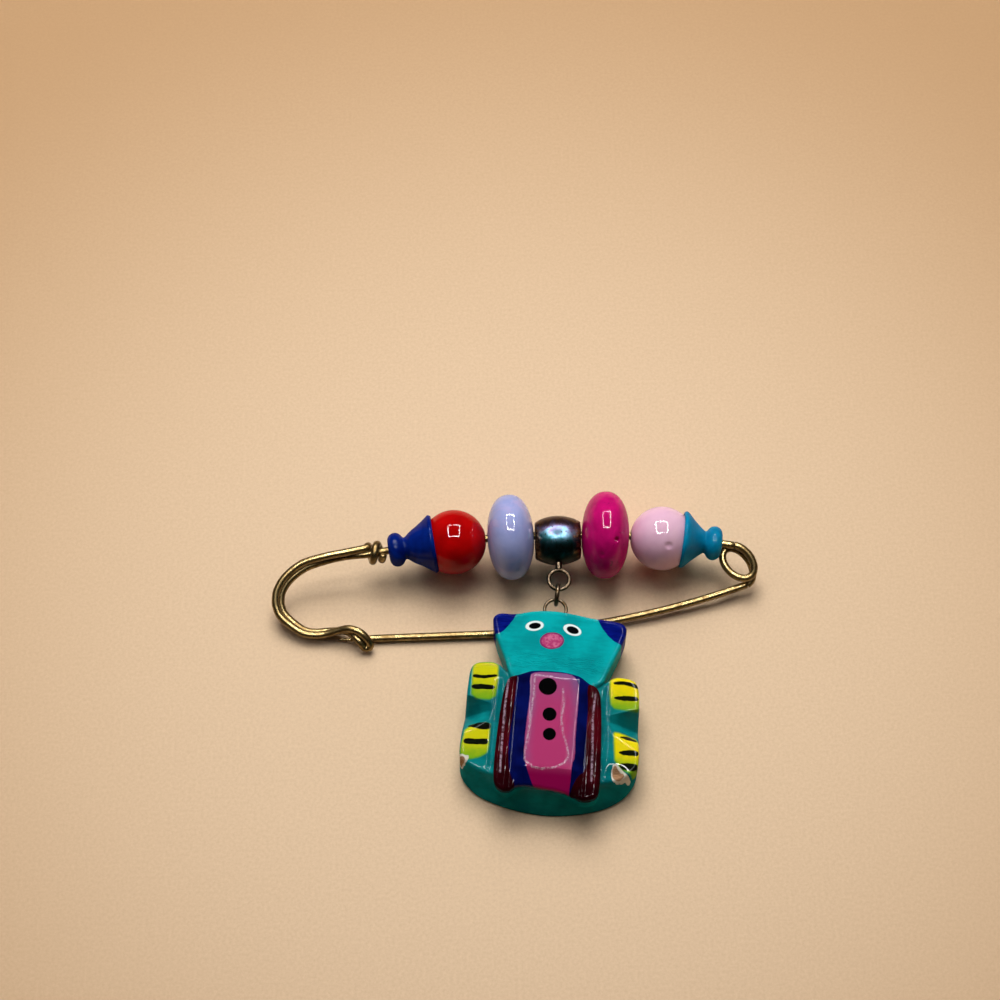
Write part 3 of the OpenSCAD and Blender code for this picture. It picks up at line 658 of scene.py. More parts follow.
class Field:
    """Distances to an outline kept on a fine flat grid and read between its points."""

    def __init__(self, outline, pitch=0.1):
        self.low, self.pitch = np.array([-17.0, -6.0]), pitch
        self.n = (np.array([34.5, 39.0]) / pitch).astype(int)
        x, y = (self.low[k] + pitch * np.arange(self.n[k]) for k in (0, 1))
        X, Y = np.meshgrid(x, y, indexing="ij")
        self.d = flat_distance(np.stack([X.ravel(), Y.ravel()], 1), outline).reshape(X.shape)

    def __call__(self, u, v):
        g = [np.clip((q - lo) / self.pitch, 0, n - 1.001) for q, lo, n in zip((u, v), self.low, self.n)]
        i, j = g[0].astype(int), g[1].astype(int)
        s, t = g[0] - i, g[1] - j
        d = self.d
        return (d[i, j] * (1 - s) * (1 - t) + d[i + 1, j] * s * (1 - t)
                + d[i, j + 1] * (1 - s) * t + d[i + 1, j + 1] * s * t)


BODY_FIELD, HEAD_FIELD, BLOCK_FIELD = Field(BODY), Field(HEAD), Field(BLOCK)


def rounded(flat, w, top, r):
    """A board on its outline, from the back to its top, with round edges."""
    a, b = flat + r, np.maximum(-w, w - top) + r
    return np.minimum(np.maximum(a, b), 0) + np.hypot(np.maximum(a, 0), np.maximum(b, 0)) - r


def bear_distance(p):
    """Distance to the carved wood for points (across, along, up) in mm."""
    u, v, w = p[:, 0], p[:, 1], p[:, 2]
    au = np.abs(u)
    # The foot end leans back, most at its corners
    k = FOOT_LEAN * np.clip(w, 0, 9) / BODY_T * (0.6 + 0.04 * au) / 8
    back_v = np.where(v < 7, (v - 7 * k) / (1 - k), v)
    # A scooped groove parts arm from leg, and each paw falls a little to its ends and its outside
    groove_v = np.where(u < 0, 13.45 - 0.12 * (au - 8.5), 13.15 - 0.05 * (au - 8.5))
    deep = 3.4 * step(au, 8.0, 14.0)
    off = (v - groove_v) / (0.8 + 0.40 * np.clip(au - 8.4, 0, 6))
    scoop = deep * np.where(off > 0, np.clip(1 - off, 0, 1) ** 0.8, np.clip(1 + off * 0.7, 0, 1) ** 1.3)
    dip = 0.35 * np.exp(-((au - 8.35) / 0.45) ** 2) * step(v, 3, 5) * (1 - step(v, 17, 19.5))
    paw = 0.09 * np.clip(np.abs(v - np.where(v > 13.3, 18.0, 8.6)) - 1.4, 0, 4) * step(au, 8.0, 9.5)
    worn = 0.5 * np.exp(-(((u - 10.6) / 1.1) ** 2 + ((v - 5.0) / 0.8) ** 2))
    top = BODY_T - scoop - dip - 0.07 * np.clip(au - 9, 0, 6) - paw - worn
    d_body = rounded(BODY_FIELD(u, back_v), w, top, 0.5) * 0.85
    face = 0.0032 * (u ** 2 + (v - 25.0) ** 2)
    d_head = rounded(HEAD_FIELD(u, v), w, HEAD_T + 0.1 - face, 0.6)
    # The belly block: flat pink front, blue slopes, and a rounded maroon strip along each side
    out = np.maximum(-3.3 - 0.02 * (v - 10) - u, u - 3.95 - 0.01 * (v - 10))
    slope = BELLY_T - 0.06 * np.clip(out + 1.4, 0, 1.4) - 0.60 * np.clip(out, 0, 9)
    strip = np.where(u < 0, -6.72, 6.82)
    ridge = 7.02 + 0.34 * np.sqrt(np.clip(1 - ((u - strip) / 1.25) ** 2, 0, 1))
    middle = 1 - step(np.abs(u - 0.3), 3.6, 5.2)
    height = soft_max(slope, ridge, 0.15)
    height = height - np.clip(4.35 - v, 0, 4) * (0.10 + 0.50 * middle) - 0.35 * step(v, 18.2, 19.9)
    d_block = soft_max(BLOCK_FIELD(u, v), (w - height) * 0.88, 0.5)
    d_block = np.maximum(d_block, 3.0 - w)
    d = soft_min(d_body, d_head, 0.25)
    d = soft_min(d, d_block, 0.1)
    # The crown's hole and slot for the metal eye
    hole = np.maximum(np.hypot(u - EYE_U, w - EYE_W) - 0.5, 30.1 - POST_DEPTH - 0.3 - v)
    slot = np.maximum(np.hypot(u - EYE_U, v - EYE_V) - EYE_D / 2 - 0.15,
                      np.abs(w - EYE_W) - EYE_WIRE / 2 - 0.15)
    return np.maximum(np.maximum(d, -hole), -slot)


def net(distance, lo, hi, pitch):
    """A closed mesh of the surface where the distance is zero: one point per crossed cell."""
    n = [int(math.ceil((b - a) / pitch)) + 1 for a, b in zip(lo, hi)]
    axes = [a + pitch * np.arange(k) for a, k in zip(lo, n)]
    f = np.empty(n, np.float32)
    U, V = np.meshgrid(axes[0], axes[1], indexing="ij")
    for k, w in enumerate(axes[2]):
        f[:, :, k] = distance(np.stack([U.ravel(), V.ravel(), np.full(U.size, w)], 1)).reshape(U.shape)
    corner = [(i, j, k) for i in (0, 1) for j in (0, 1) for k in (0, 1)]
    cells = [f[i:n[0] - 1 + i, j:n[1] - 1 + j, k:n[2] - 1 + k] for i, j, k in corner]
    neg = sum((c < 0).astype(np.int8) for c in cells)
    active = (neg > 0) & (neg < 8)
    idx = np.full(active.shape, -1)
    ijk = np.argwhere(active)
    idx[active] = np.arange(len(ijk))
    total, count = np.zeros((len(ijk), 3)), np.zeros(len(ijk))
    vals = [c[active] for c in cells]
    for a in range(8):
        for b in range(a + 1, 8):
            ca, cb = np.array(corner[a]), np.array(corner[b])
            if np.abs(ca - cb).sum() != 1:
                continue
            fa, fb = vals[a], vals[b]
            cut = (fa < 0) != (fb < 0)
            s = np.where(cut, fa / np.where(cut, fa - fb, 1), 0)
            total += np.where(cut[:, None], ca + s[:, None] * (cb - ca), 0)
            count += cut
    verts = np.array(lo) + (ijk + total / count[:, None]) * pitch
    faces = []
    for ax in range(3):
        b, c = (ax + 1) % 3, (ax + 2) % 3
        cut_at = [slice(1, -1)] * 3
        cut_at[ax] = slice(0, n[ax] - 1)
        next_at = list(cut_at)
        next_at[ax] = slice(1, n[ax])
        f0, f1 = f[tuple(cut_at)], f[tuple(next_at)]
        hits = np.argwhere((f0 < 0) != (f1 < 0))
        flip = (f0 < 0)[tuple(hits.T)]
        base = hits.copy()
        base[:, b] += 1
        base[:, c] += 1
        quad = []
        for db, dc in ((0, 0), (-1, 0), (-1, -1), (0, -1)):
            q = base.copy()
            q[:, b] += db
            q[:, c] += dc
            quad.append(idx[tuple(q.T)])
        quad = np.stack(quad, 1)
        faces.append(quad[flip])
        faces.append(quad[~flip][:, ::-1])
    faces = np.vstack(faces)
    for _ in range(3):
        h = 0.02
        g = np.stack([(distance(verts + d) - distance(verts - d)) / (2 * h) for d in np.eye(3) * h], 1)
        dist = distance(verts)
        move = g * (dist / np.maximum((g ** 2).sum(1), 0.25))[:, None]
        verts = verts - np.clip(move, -0.3 * pitch, 0.3 * pitch)
    return verts, faces


def ellipse(pts, centre, a, b, turn):
    c, s = math.cos(math.radians(turn)), math.sin(math.radians(turn))
    x, y = pts[:, 0] - centre[0], pts[:, 1] - centre[1]
    p, q = x * c + y * s, -x * s + y * c
    return (np.sqrt((p / a) ** 2 + (q / b) ** 2) - 1) * min(a, b)


def outlined(pts, *shapes):
    d = np.full(len(pts), 1e3)
    for s in shapes:
        d = np.minimum(d, flat_distance(pts, chaikin(s, 1)))
    return d


STRIPES = [
    [[-12.4, 18.95], [-10.5, 18.85], [-8.65, 19.2], [-8.6, 18.75], [-10.5, 18.3], [-12.35, 18.35]],
    [[-12.5, 17.2], [-10.6, 17.45], [-9.0, 17.35], [-8.8, 17.0], [-9.2, 16.6], [-10.7, 16.55],
     [-12.3, 16.55]],
    [[-12.5, 10.7], [-11.5, 11.1], [-10.3, 11.4], [-9.0, 11.3], [-8.8, 10.75], [-9.0, 10.2], [-10.4, 10.15],
     [-11.4, 10.4]],
    [[-12.9, 8.15], [-12.35, 8.7], [-10.7, 8.6], [-9.2, 8.8], [-8.95, 8.3], [-9.15, 7.85], [-11.0, 7.7],
     [-12.5, 7.75]],
    [[9.05, 19.35], [9.9, 19.75], [11.0, 19.85], [12.8, 19.5], [13.2, 19.1], [12.8, 18.8], [11.1, 19.2],
     [9.3, 19.1]],
    [[9.2, 16.95], [10.2, 17.4], [12.8, 17.55], [13.25, 17.2], [12.9, 16.8], [10.3, 16.6]],
    [[10.55, 10.85], [11.2, 11.2], [11.9, 11.4], [13.3, 11.05], [13.5, 10.65], [11.5, 10.65]],
    [[10.5, 8.4], [11.7, 8.95], [13.6, 9.0], [13.8, 8.5], [13.6, 8.1], [11.6, 8.05]],
    [[10.8, 6.35], [11.3, 6.85], [13.6, 6.95], [13.8, 6.3], [13.3, 5.8], [11.8, 5.75]]]
PAWS = [
    [[-12.6, 20.2], [-12.0, 21.0], [-8.55, 21.3], [-8.35, 18.1], [-8.6, 14.95], [-12.3, 15.05],
     [-12.45, 17.8]],
    [[-12.7, 10.85], [-8.9, 11.5], [-8.85, 10.0], [-8.8, 7.3], [-8.95, 6.5], [-10.0, 5.8], [-11.5, 5.3],
     [-13.1, 5.6], [-13.2, 7.0]],
    [[8.5, 20.1], [9.3, 20.6], [12.2, 20.5], [13.6, 19.6], [13.7, 15.3], [11.2, 15.1], [9.0, 15.3],
     [8.6, 17.7]],
    [[9.6, 11.7], [11.1, 11.75], [13.8, 11.2], [14.3, 7.8], [14.3, 4.6], [10.2, 6.3], [9.8, 10.2]]]
EAR_LEFT = [[-6.5, 29.6], [-6.64, 28.83], [-7.06, 27.78], [-7.81, 26.62], [-8.59, 25.72], [-9.42, 25.46],
            [-11.5, 25.2], [-11.5, 30.5], [-8, 30.5]]
EAR_RIGHT = [[5.9, 29.6], [6.06, 28.98], [6.45, 28.28], [7.03, 27.42], [7.78, 26.58], [8.68, 25.84],
             [9.39, 25.54], [10.3, 25.2], [12, 25.2], [12, 30.5], [7, 30.5]]
MAROON_LEFT = [
    [-6.84, 18.8], [-5.54, 19.2], [-5.54, 16.92], [-5.65, 12.91], [-5.85, 9.91], [-5.86, 6.95],
    [-5.5, 4.05], [-4.9, 2.55], [-4.35, 1.63], [-4.6, -0.4], [-8.4, -0.4], [-8.6, 8.0], [-8.3, 19.0]]
MAROON_RIGHT = [
    [5.77, 18.5], [6.9, 18.6], [8.3, 17.5], [8.8, 8.8], [8.9, -0.4], [3.9, -0.4], [3.95, 1.2],
    [4.13, 2.02], [4.84, 3.64], [5.97, 4.71], [5.82, 6.65], [5.61, 10.57], [5.58, 14.53], [5.2, 17.9]]
PANEL = [
    [-2.71, 19.3], [-3.62, 18.77], [-3.26, 15.8], [-3.47, 11.79], [-3.49, 8.83], [-3.42, 5.9],
    [-2.78, 4.01], [-1.9, 2.2], [-1.3, 1.5], [-1.0, 0.4], [3.9, 0.3], [3.75, 1.31], [3.85, 2.28],
    [3.85, 5.39], [4.23, 6.21], [4.02, 10.11], [4.08, 14.07], [4.0, 17.46], [3.42, 18.81], [2.4, 19.45],
    [0.2, 19.5]]
CHIP_RIGHT = [[9.8, 5.3], [10.1, 6.5], [10.6, 6.8], [11.2, 5.9], [12.1, 5.2], [13.4, 4.5], [13.6, 3.9],
              [12.9, 3.8], [12.3, 4.4], [11.4, 4.0], [10.8, 3.75], [10.0, 4.1]]
CHIP_BARE = [[9.95, 5.3], [10.15, 6.2], [10.5, 6.45], [11.0, 5.6], [11.9, 5.0], [11.5, 4.5], [10.9, 4.05],
             [10.2, 4.3]]
CHIP_LEFT = [[-13.4, 6.3], [-12.5, 6.0], [-11.6, 5.9], [-12.0, 4.9], [-12.9, 4.3], [-13.6, 4.6]]
CHIP_LEFT_BARE = [[-13.3, 5.9], [-12.3, 5.7], [-12.2, 5.1], [-12.9, 4.7]]

# Middle lines of the gathered varnish, which also carry a painted highlight
VARNISH_AND_HIGHLIGHT = [
    [[-0.2, 18.75], [-1.71, 18.75], [-2.67, 18.86], [-2.86, 18.6], [-2.79, 15.84], [-3.02, 9.86],
     [-3.3, 6.69], [-3.25, 5.3], [-1.97, 4.28], [-0.46, 4.12], [1.37, 4.5], [2.63, 5.28], [3.3, 6.3],
     [2.87, 8.04], [2.15, 9.94], [1.68, 12.27], [1.89, 14.27], [1.58, 16.84]],
    [[-6.79, 18.01], [-6.97, 13.78], [-6.89, 7.84], [-6.75, 3.35]],
    [[6.5, 16.9], [6.4, 13.0], [6.75, 8.0], [6.95, 3.2]]]


def line_distance(p, *lines):
    """Distance to the nearest of some open lines."""
    best = np.full(len(p), 99.0)
    for line in lines:
        q = np.array(line)
        for a, b in zip(q[:-1], q[1:]):
            ab = b - a
            t = np.clip((p - a) @ ab / (ab @ ab), 0, 1)
            best = np.minimum(best, np.linalg.norm(p - a - t[:, None] * ab, axis=1))
    return best


def back_edge(v3):
    """How far a point lies inside the body's outline where the foot end begins to slope."""
    inside = -BODY_FIELD(v3[:, 0], v3[:, 1])
    reach = FOOT_LEAN * (0.6 + 0.04 * np.abs(v3[:, 0])) * np.clip((7 - v3[:, 1]) / 8, 0, 1)
    return inside - reach * np.clip(v3[:, 2], 0, BODY_T) / BODY_T + np.clip(v3[:, 1] - 7, 0, 9)


def bear_fields(v3):
    """Painted regions as distances, so that their edges stay crisp, and the bear's own coordinates."""
    p = v3[:, :2]
    up = v3[:, 2]
    block = flat_distance(p, BLOCK) + np.clip(BODY_T - 0.55 - up, 0, 9) * 0.9
    return {
        "ears": np.minimum(outlined(p, EAR_LEFT), outlined(p, EAR_RIGHT)),
        "block": block,
        "maroon": np.maximum(outlined(p, MAROON_LEFT, MAROON_RIGHT), block),
        "panel": np.maximum(outlined(p, PANEL), block + 0.05),
        "eye_white": np.minimum(ellipse(p, (-3.62, 27.2), 1.40, 0.82, 12),
                                ellipse(p, (2.2, 27.02), 1.44, 0.87, -16.5)),
        "eye_black": np.minimum(ellipse(p, (-3.58, 27.2), 0.92, 0.50, 11),
                                ellipse(p, (2.27, 27.0), 0.97, 0.58, -16)),
        "nose": ellipse(p, (-0.76, 24.98), 1.86, 1.36, 8),
        "paws": outlined(p, *PAWS) + np.clip(3.4 - up, 0, 9),
        "stripes": outlined(p, *STRIPES) + np.clip(3.2 - up, 0, 9),
        "buttons": np.minimum(np.minimum(ellipse(p, (-0.75, 17.08), 1.38, 1.38, 0),
                                         ellipse(p, (-0.12, 12.7), 1.06, 1.06, 0)),
                              ellipse(p, (0.12, 9.58), 0.98, 0.98, 0)) + np.clip(7 - up, 0, 9),
        "chip": outlined(p, CHIP_RIGHT, CHIP_LEFT) + np.clip(3.0 - up, 0, 9),
        "bare": outlined(p, CHIP_BARE, CHIP_LEFT_BARE) + np.clip(3.0 - up, 0, 9),
        "head": outlined(p, HEAD.tolist()),
        "varnish_and_highlight": line_distance(p, *VARNISH_AND_HIGHLIGHT) + np.clip(6.3 - up, 0, 9),
        "slope": (1 - np.clip((back_edge(v3) - 0.2) / 0.8, 0, 1)) * (up < BODY_T + 0.3),
        "own": v3 * MM,
    }


def bear_paint():
    """Painted wood under gloss lacquer; each colour is laid over the one below with a slightly shaky edge."""
    m, t, out, _ = material("painted_bear")
    place = add(t, "point", attribute_name="own")
    shake = add(t, "times", add(t, "minus", add(t, "noise", place, per_mm(0.8), 3, 0.55), 0.5), 0.28)
    brush = add(t, "ShaderNodeMapping", named={"Vector": place, "Scale": (1, 5, 1)})
    strokes = add(t, "noise", brush, per_mm(2.4), 4, 0.6, 0.3)
    cloud = add(t, "noise", place, per_mm(4.0), 3, 0.5)
    uneven = add(t, "plus", cloud, add(t, "times", strokes, 0.4))
    head = add(t, "spread", add(t, "field", attribute_name="head"), 0.25, -0.25)
    col = add(t, "mix", head, two(t, "#04696E", "#0A8486", uneven, 0.5, 0.9),
              two(t, "#069296", "#08AEB2", uneven, 0.5, 0.9))

    def over(below, paint, field, wobble=1.0, soft=0.03):
        d = add(t, "field", attribute_name=field)
        if wobble:
            d = add(t, "plus", d, add(t, "times", shake, wobble))
        return add(t, "mix", add(t, "spread", d, soft, -soft), below, paint)

    along = add(t, "ShaderNodeSeparateXYZ", named={0: place}).node.outputs
    v_mm = add(t, "times", along[1], 1000)
    u_mm = add(t, "times", along[0], 1000)
    # Paws: yellow, greener toward the lower end and the inner edge of each pad
    pad_v = add(t, "rest", add(t, "plus", v_mm, -5.2), 9.7)
    lime = add(t, "plus", pad_v, add(t, "times", shake, 6.0))
    yellow = two(t, "#7CB020", "#EAD60A", lime, 0.2, 3.8)
    yellow = add(t, "mix", add(t, "spread", u_mm, -7.5, -9.5, 0, 0.35), yellow, linear("#7FAE1C"))
    rim = add(t, "ease", add(t, "field", attribute_name="paws"), -0.42, 0.0, 0, 0.75)
    yellow = add(t, "mix", rim, yellow, linear("#3E9A2A"))
    col = over(col, yellow, "paws", 0.7, 0.12)
    col = over(col, two(t, "#050604", "#12180A", strokes, 0.3, 0.7), "stripes", 0.9, 0.035)
    col = over(col, two(t, "#02075A", "#081A80", strokes, 0.3, 0.7), "ears", 0.8)
    col = over(col, two(t, "#020538", "#05125C", cloud, 0.3, 0.7), "block", 0.0, 0.05)
    maroon = two(t, "#2E0308", "#4A0610", cloud, 0.35, 0.65)
    # Painted shade: the dark red strips go nearly black at their lower ends, where the block slopes down to
    # the foot end
    maroon = add(t, "mix", add(t, "spread", v_mm, 4.5, 2.0, 0, 0.7), maroon, linear("#140206"))
    col = over(col, maroon, "maroon", 0.5)
    # Painted shade: the pink turns deeper where the front slopes down to the foot end
    pink = two(t, "#B0386C", "#9A0A52", v_mm, 5.0, 3.2)
    # Painted sheen: a pale violet reflection of the lamps laid over the pink front's edges and its upper
    # part, broken by the cloud
    painted_sheen_reach = add(t, "plus", add(t, "ease", add(t, "field", attribute_name="panel"), -1.7, -0.2, 0, 0.55),
                add(t, "ease", v_mm, 12, 18, 0, 0.35))
    ragged_v = add(t, "plus", v_mm, add(t, "times", shake, 4.0))
    painted_reflection = add(t, "times", painted_sheen_reach, add(t, "ease", ragged_v, 4.6, 6.0, 0, 1))
    painted_reflection = add(t, "times", painted_reflection, add(t, "spread", cloud, 0.35, 0.65, 0.5, 1.0))
    pink = add(t, "mix", painted_reflection, pink, linear("#785684"))
    col = over(col, pink, "panel", 0.6, 0.06)
    # Painted highlight: pale broken lines where the gathered varnish along the belly's edges catches the
    # lamps
    painted_highlight = add(t, "times", add(t, "ease", add(t, "field", attribute_name="varnish_and_highlight"), 0.22, 0.08, 0, 0.6),
                 add(t, "ease", add(t, "noise", place, per_mm(0.4), 4, 0.65), 0.38, 0.60, 0.1, 1))
    col = add(t, "mix", painted_highlight, col, linear("#C4A8BC"))
    col = over(col, linear("#030405"), "buttons", 0.25, 0.035)
    nose_edge = add(t, "ease", add(t, "field", attribute_name="nose"), -0.32, -0.06, 0, 1)
    nose = two(t, "#B43C70", "#CF6E94", add(t, "noise", place, per_mm(0.7), 4, 0.6), 0.4, 0.62)
    nose = add(t, "mix", nose_edge, nose, linear("#7C2460"))
    col = over(col, nose, "nose", 0.25, 0.04)
    col = over(col, linear("#E9F4F2"), "eye_white", 0.12, 0.035)
    col = over(col, linear("#05070A"), "eye_black", 0.12, 0.03)
    jag = 1.6
    col = over(col, linear("#D9D4C4"), "chip", jag, 0.03)
    col = over(col, two(t, "#8C6848", "#B48C6A", add(t, "noise", brush, per_mm(0.6), 4, 0.6), 0.3, 0.7),
               "bare", jag, 0.05)
    worn = add(t, "plus", add(t, "field", attribute_name="chip"), add(t, "times", shake, jag))
    coat = add(t, "spread", worn, -0.03, 0.05)
    peel = add(t, "plus", add(t, "noise", place, per_mm(0.5), 4, 0.6),
               add(t, "times", add(t, "noise", place, per_mm(1.8), 2, 0.5), 1.5))
    dash = add(t, "spread", add(t, "noise", brush, per_mm(0.9), 3, 0.5), 0.5, 0.62)
    near_neck = add(t, "times", add(t, "ease", v_mm, 19.6, 20.6, 0, 1),
                    add(t, "ease", v_mm, 23.6, 22.2, 0, 1))
    relief = add(t, "plus", add(t, "times", coat, 0.4), add(t, "times", dash, near_neck))
    under = add(t, "bump", relief, 0.05 * MM, 0.8, add(t, "bump", strokes, 0.015 * MM, 0.3))
    # Varnish gathered in raised, broken lines along the belly's edges
    broken = add(t, "spread", add(t, "noise", place, per_mm(0.45), 3, 0.6), 0.36, 0.56, 0.2, 1)
    ridge = add(t, "times", add(t, "ease", add(t, "field", attribute_name="varnish_and_highlight"), 0.34, 0.05, 0, 1),
                broken)
    shine = add(t, "bump", ridge, 0.10 * MM, 1.0, add(t, "bump", peel, 0.010 * MM, 0.4))
    glossy = add(t, "larger", add(t, "ease", add(t, "field", attribute_name="block"), 0.1, -0.1, 0.20, 0.5),
                  add(t, "ease", add(t, "field", attribute_name="paws"), 0.1, -0.2, 0.20, 0.5))
    # The shine on the dark red ridges is worn to a few broken dashes
    worn_shine = add(t, "spread", add(t, "noise", place, per_mm(0.7), 3, 0.6), 0.54, 0.66, 0.03, 0.7)
    off_red = add(t, "spread", add(t, "field", attribute_name="maroon"), -0.1, 0.1)
    glossy = add(t, "times", glossy, add(t, "larger", off_red, worn_shine))
    matt = add(t, "times", add(t, "times", coat, glossy),
               add(t, "ease", add(t, "field", attribute_name="slope"), 0.2, 0.8, 1, 0.2))
    shader = add(t, "ShaderNodeBsdfPrincipled", named={
        "Base Color": col, "Roughness": 0.5, "IOR": 1.4, "Specular IOR Level": 0.0,
        "Coat Weight": matt, "Coat Roughness": 0.02, "Coat IOR": 1.4, "Normal": under,
        "Coat Normal": shine})
    t.links.new(shader, out.inputs[0])
    return m


# The pieces
BRASS = brass_wire()
METAL = tarnished_metal()
NICKEL = plated_wire()


def on_table(p):
    return np.asarray(p) + CENTRE


line = laid(pin_line())
mesh("pin_frame_wire", *tube(on_table(line), WIRE_R, BRASS), "brooch", "pin_frame", "pin_wire", BRASS)

coil = np.array([coil_point(s) for s in np.linspace(0, 1, 200)])
angle = np.linspace(0, math.degrees(COIL_A1 - COIL_A0), 200)
first_end = int(np.searchsorted(angle, 185))
middle_end = int(np.searchsorted(angle, 335))
table_coil = on_table(laid(coil))
mesh("coil_first", *tube(table_coil[:first_end + 1], WIRE_R, BRASS, round_ends=(True, False)),
     "brooch", "spring_coil", "pin_wire", BRASS)
middle_piece = mesh("coil_middle", *tube(table_coil[first_end:middle_end + 1], WIRE_R * 0.999, BRASS,
                                         round_ends=(False, False)),
                    None, "spring_coil", "pin_wire", BRASS)
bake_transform(middle_piece)
mesh("coil_last", *tube(table_coil[middle_end:], WIRE_R, BRASS, round_ends=(False, True)),
     "arm", "spring_coil", "pin_wire", BRASS)
arm_pts, arm_rad = arm_line()
mesh("pin_arm_wire", *tube(on_table(laid(arm_pts)), arm_rad, BRASS, round_ends=(True, False)),
     "arm", "pin_arm", "pin_wire", BRASS)

# Worm holes and a knock in the wood, from each bead's middle in mm
MAGENTA_PITS = (((1.45, -1.13, 6.4), 0.42, 0.55), ((-0.9, -3.38, 5.95), 0.5, 0.10),
                ((0.93, 5.24, 4.38), 0.45, 0.08))
PINK_PITS = (((0.73, -1.4, 4.8), 0.62, 0.22),)


def bead(name, node, slot, paint, *shape, **more):
    mesh(name, *turned(*shape, **more), "brooch", node, slot, lacquered(slot, *paint))


# Each paint: its light and its dark colour, the size of its streaks in mm, its blotches and its gloss
BLUE, TEAL = ("#062680", "#031460", 2.5, None, 0.28), ("#0A8AB4", "#066A94", 2.5, None, 0.28)
RED, PINK = ("#BC0406", "#A00204", 4.0), ("#E8BDD2", "#DFAECA", 4.0, None, 1.0)
LAVENDER = ("#A2AADC", "#8C98CE", 4.5, ("#B2A8D6", 5.0, 0.48, 0.68), 1.0)
MAGENTA = ("#CE1272", "#AE085E", 2.5, ("#6E0A44", 1.2, 0.62, 0.72))
bead("blue_cap_turned", "blue_cap", "blue_lacquer", BLUE,
     cap_profile(BLUE_LEN, BLUE_RIM, RED_D / 2, RED_SEAT), BLUE_END, 11)
bead("red_ball", "red_bead", "red_lacquer", RED, ball_profile(RED_D), RED_X, 12)
bead("lavender_rondelle", "lavender_bead", "lavender_lacquer", LAVENDER,
     rondelle_profile(LAVENDER_D, LAVENDER_T), LAVENDER_X, 13, LAVENDER_D)
bead("magenta_rondelle", "magenta_bead", "magenta_lacquer", MAGENTA,
     rondelle_profile(MAGENTA_D, MAGENTA_T), MAGENTA_X, 14, MAGENTA_D, segs=220, pits=MAGENTA_PITS)
bead("pink_ball", "pink_bead", "pink_lacquer", PINK, ball_profile(PINK_D), PINK_X, 15, segs=180,
     pits=PINK_PITS)
bead("teal_cap_turned", "teal_cap", "teal_lacquer", TEAL,
     cap_profile(TEAL_LEN, TEAL_RIM, PINK_D / 2, PINK_SEAT), TEAL_END, 16, mirrored=True)


def joined(*parts):
    verts, faces, base = [], [], 0
    for v, f in parts:
        verts.append(np.asarray(v))
        faces += [[int(i) + base for i in q] for q in f]
        base += len(v)
    return np.vstack(verts), faces


def metal_parts():
    """The metal bead: an uneven barrel with its bore, a stem and the soldered ring."""
    r, b, half = METAL_D / 2, METAL_BORE / 2, METAL_LEN / 2
    reach = half / math.sqrt(1 - (METAL_END_D / METAL_D) ** 2)
    ring = [(r * math.sqrt(1 - (x / reach) ** 2), x) for x in np.linspace(-half + 0.12, half - 0.12, 50)]
    rim = [(METAL_END_D / 2 - 0.05, half - 0.03), (METAL_END_D / 2 - 0.2, half),
           (METAL_END_D / 2 - 0.7, half),
           (b + 0.25, half - 0.05), (b + 0.04, half - 0.2), (b * 0.96, half - 0.5)]
    prof = np.array(ring + rim + [(b * 0.95, 0)] + [(q, -x) for q, x in rim[::-1]])
    segs = 96
    a = np.arange(segs) * TAU / segs
    v = np.stack([np.broadcast_to(prof[:, 1][:, None], (len(prof), segs)), prof[:, 0][:, None] * np.sin(a),
                  -prof[:, 0][:, None] * np.cos(a)], -1).reshape(-1, 3)
    v *= (1 + waviness(v, 5, 3.0, 0.012))[:, None]
    barrel = (on_table(v + METAL_AT), grid_faces(len(prof), segs))
    # Seen from above, the colours run in bands from the far side to the near side: iridescence with a painted
    # highlight, a painted reflection and painted shade, set by which way each point faces
    iridescence_and_light_band = np.clip(0.5 + (v[:, 2] * 0.35 + v[:, 1] * 0.94) / METAL_D, 0, 1)
    fields = {"height": iridescence_and_light_band, "rim": np.abs(v[:, 0]) / half, "ring": np.zeros(len(v))}
    stem_pts = [METAL_AT + BAIL_DIR * d for d in np.linspace(r - 0.5, BAIL_REACH - BAIL_MEAN, 8)]
    stem_r = BAIL_WIRE * np.array([1.1, 1.0, 0.9, 0.84, 0.82, 0.82, 0.84, 0.88])
    stem = tube(on_table(stem_pts), stem_r, METAL, 20)
    ring = loop(on_table(BAIL_AT), np.array([1.0, 0, 0]), BAIL_DIR, BAIL_MEAN, BAIL_WIRE / 2, METAL)
    verts, faces = joined(barrel, stem, ring)
    rest = len(verts) - len(v)
    for key, value in (("height", 0.5), ("rim", 0.0), ("ring", 1.0)):
        fields[key] = np.concatenate([fields[key], np.full(rest, value)])
    return verts, faces, fields


metal_v, metal_f, metal_fields = metal_parts()
mesh("metal_ball", metal_v, metal_f, "brooch", "metal_bead", "dark_metal", METAL, metal_fields)
side = unit(np.array([1.0, 0, 0]) - LINK_DIR[0] * LINK_DIR)
mesh("split_ring_wire", *loop(on_table(LINK_AT), LINK_DIR, np.cross(LINK_DIR, side),
                              (LINK_D - LINK_WIRE) / 2, LINK_WIRE / 2, NICKEL),
     "brooch", "split_ring", "ring_wire", NICKEL)
bu = unit(on_bear([1, 0, 0])[0] - on_bear([0, 0, 0])[0])
bv = unit(on_bear([0, 1, 0])[0] - on_bear([0, 0, 0])[0])
eye_mid = on_bear([EYE_U, EYE_V, EYE_W])[0]
# The post is a little thinner than its hole
POST_R = 0.7425 * EYE_WIRE
post = [on_table(eye_mid - bv * d) for d in np.linspace(EYE_MEAN, EYE_V - 30 + POST_DEPTH, 10)]
eye_ring = loop(on_table(eye_mid), bu, bv, EYE_MEAN, EYE_WIRE / 2, NICKEL)
mesh("bear_eye_wire", *joined(eye_ring, tube(post, POST_R, NICKEL, 16)), "brooch", "bear_eye", "ring_wire",
     NICKEL)

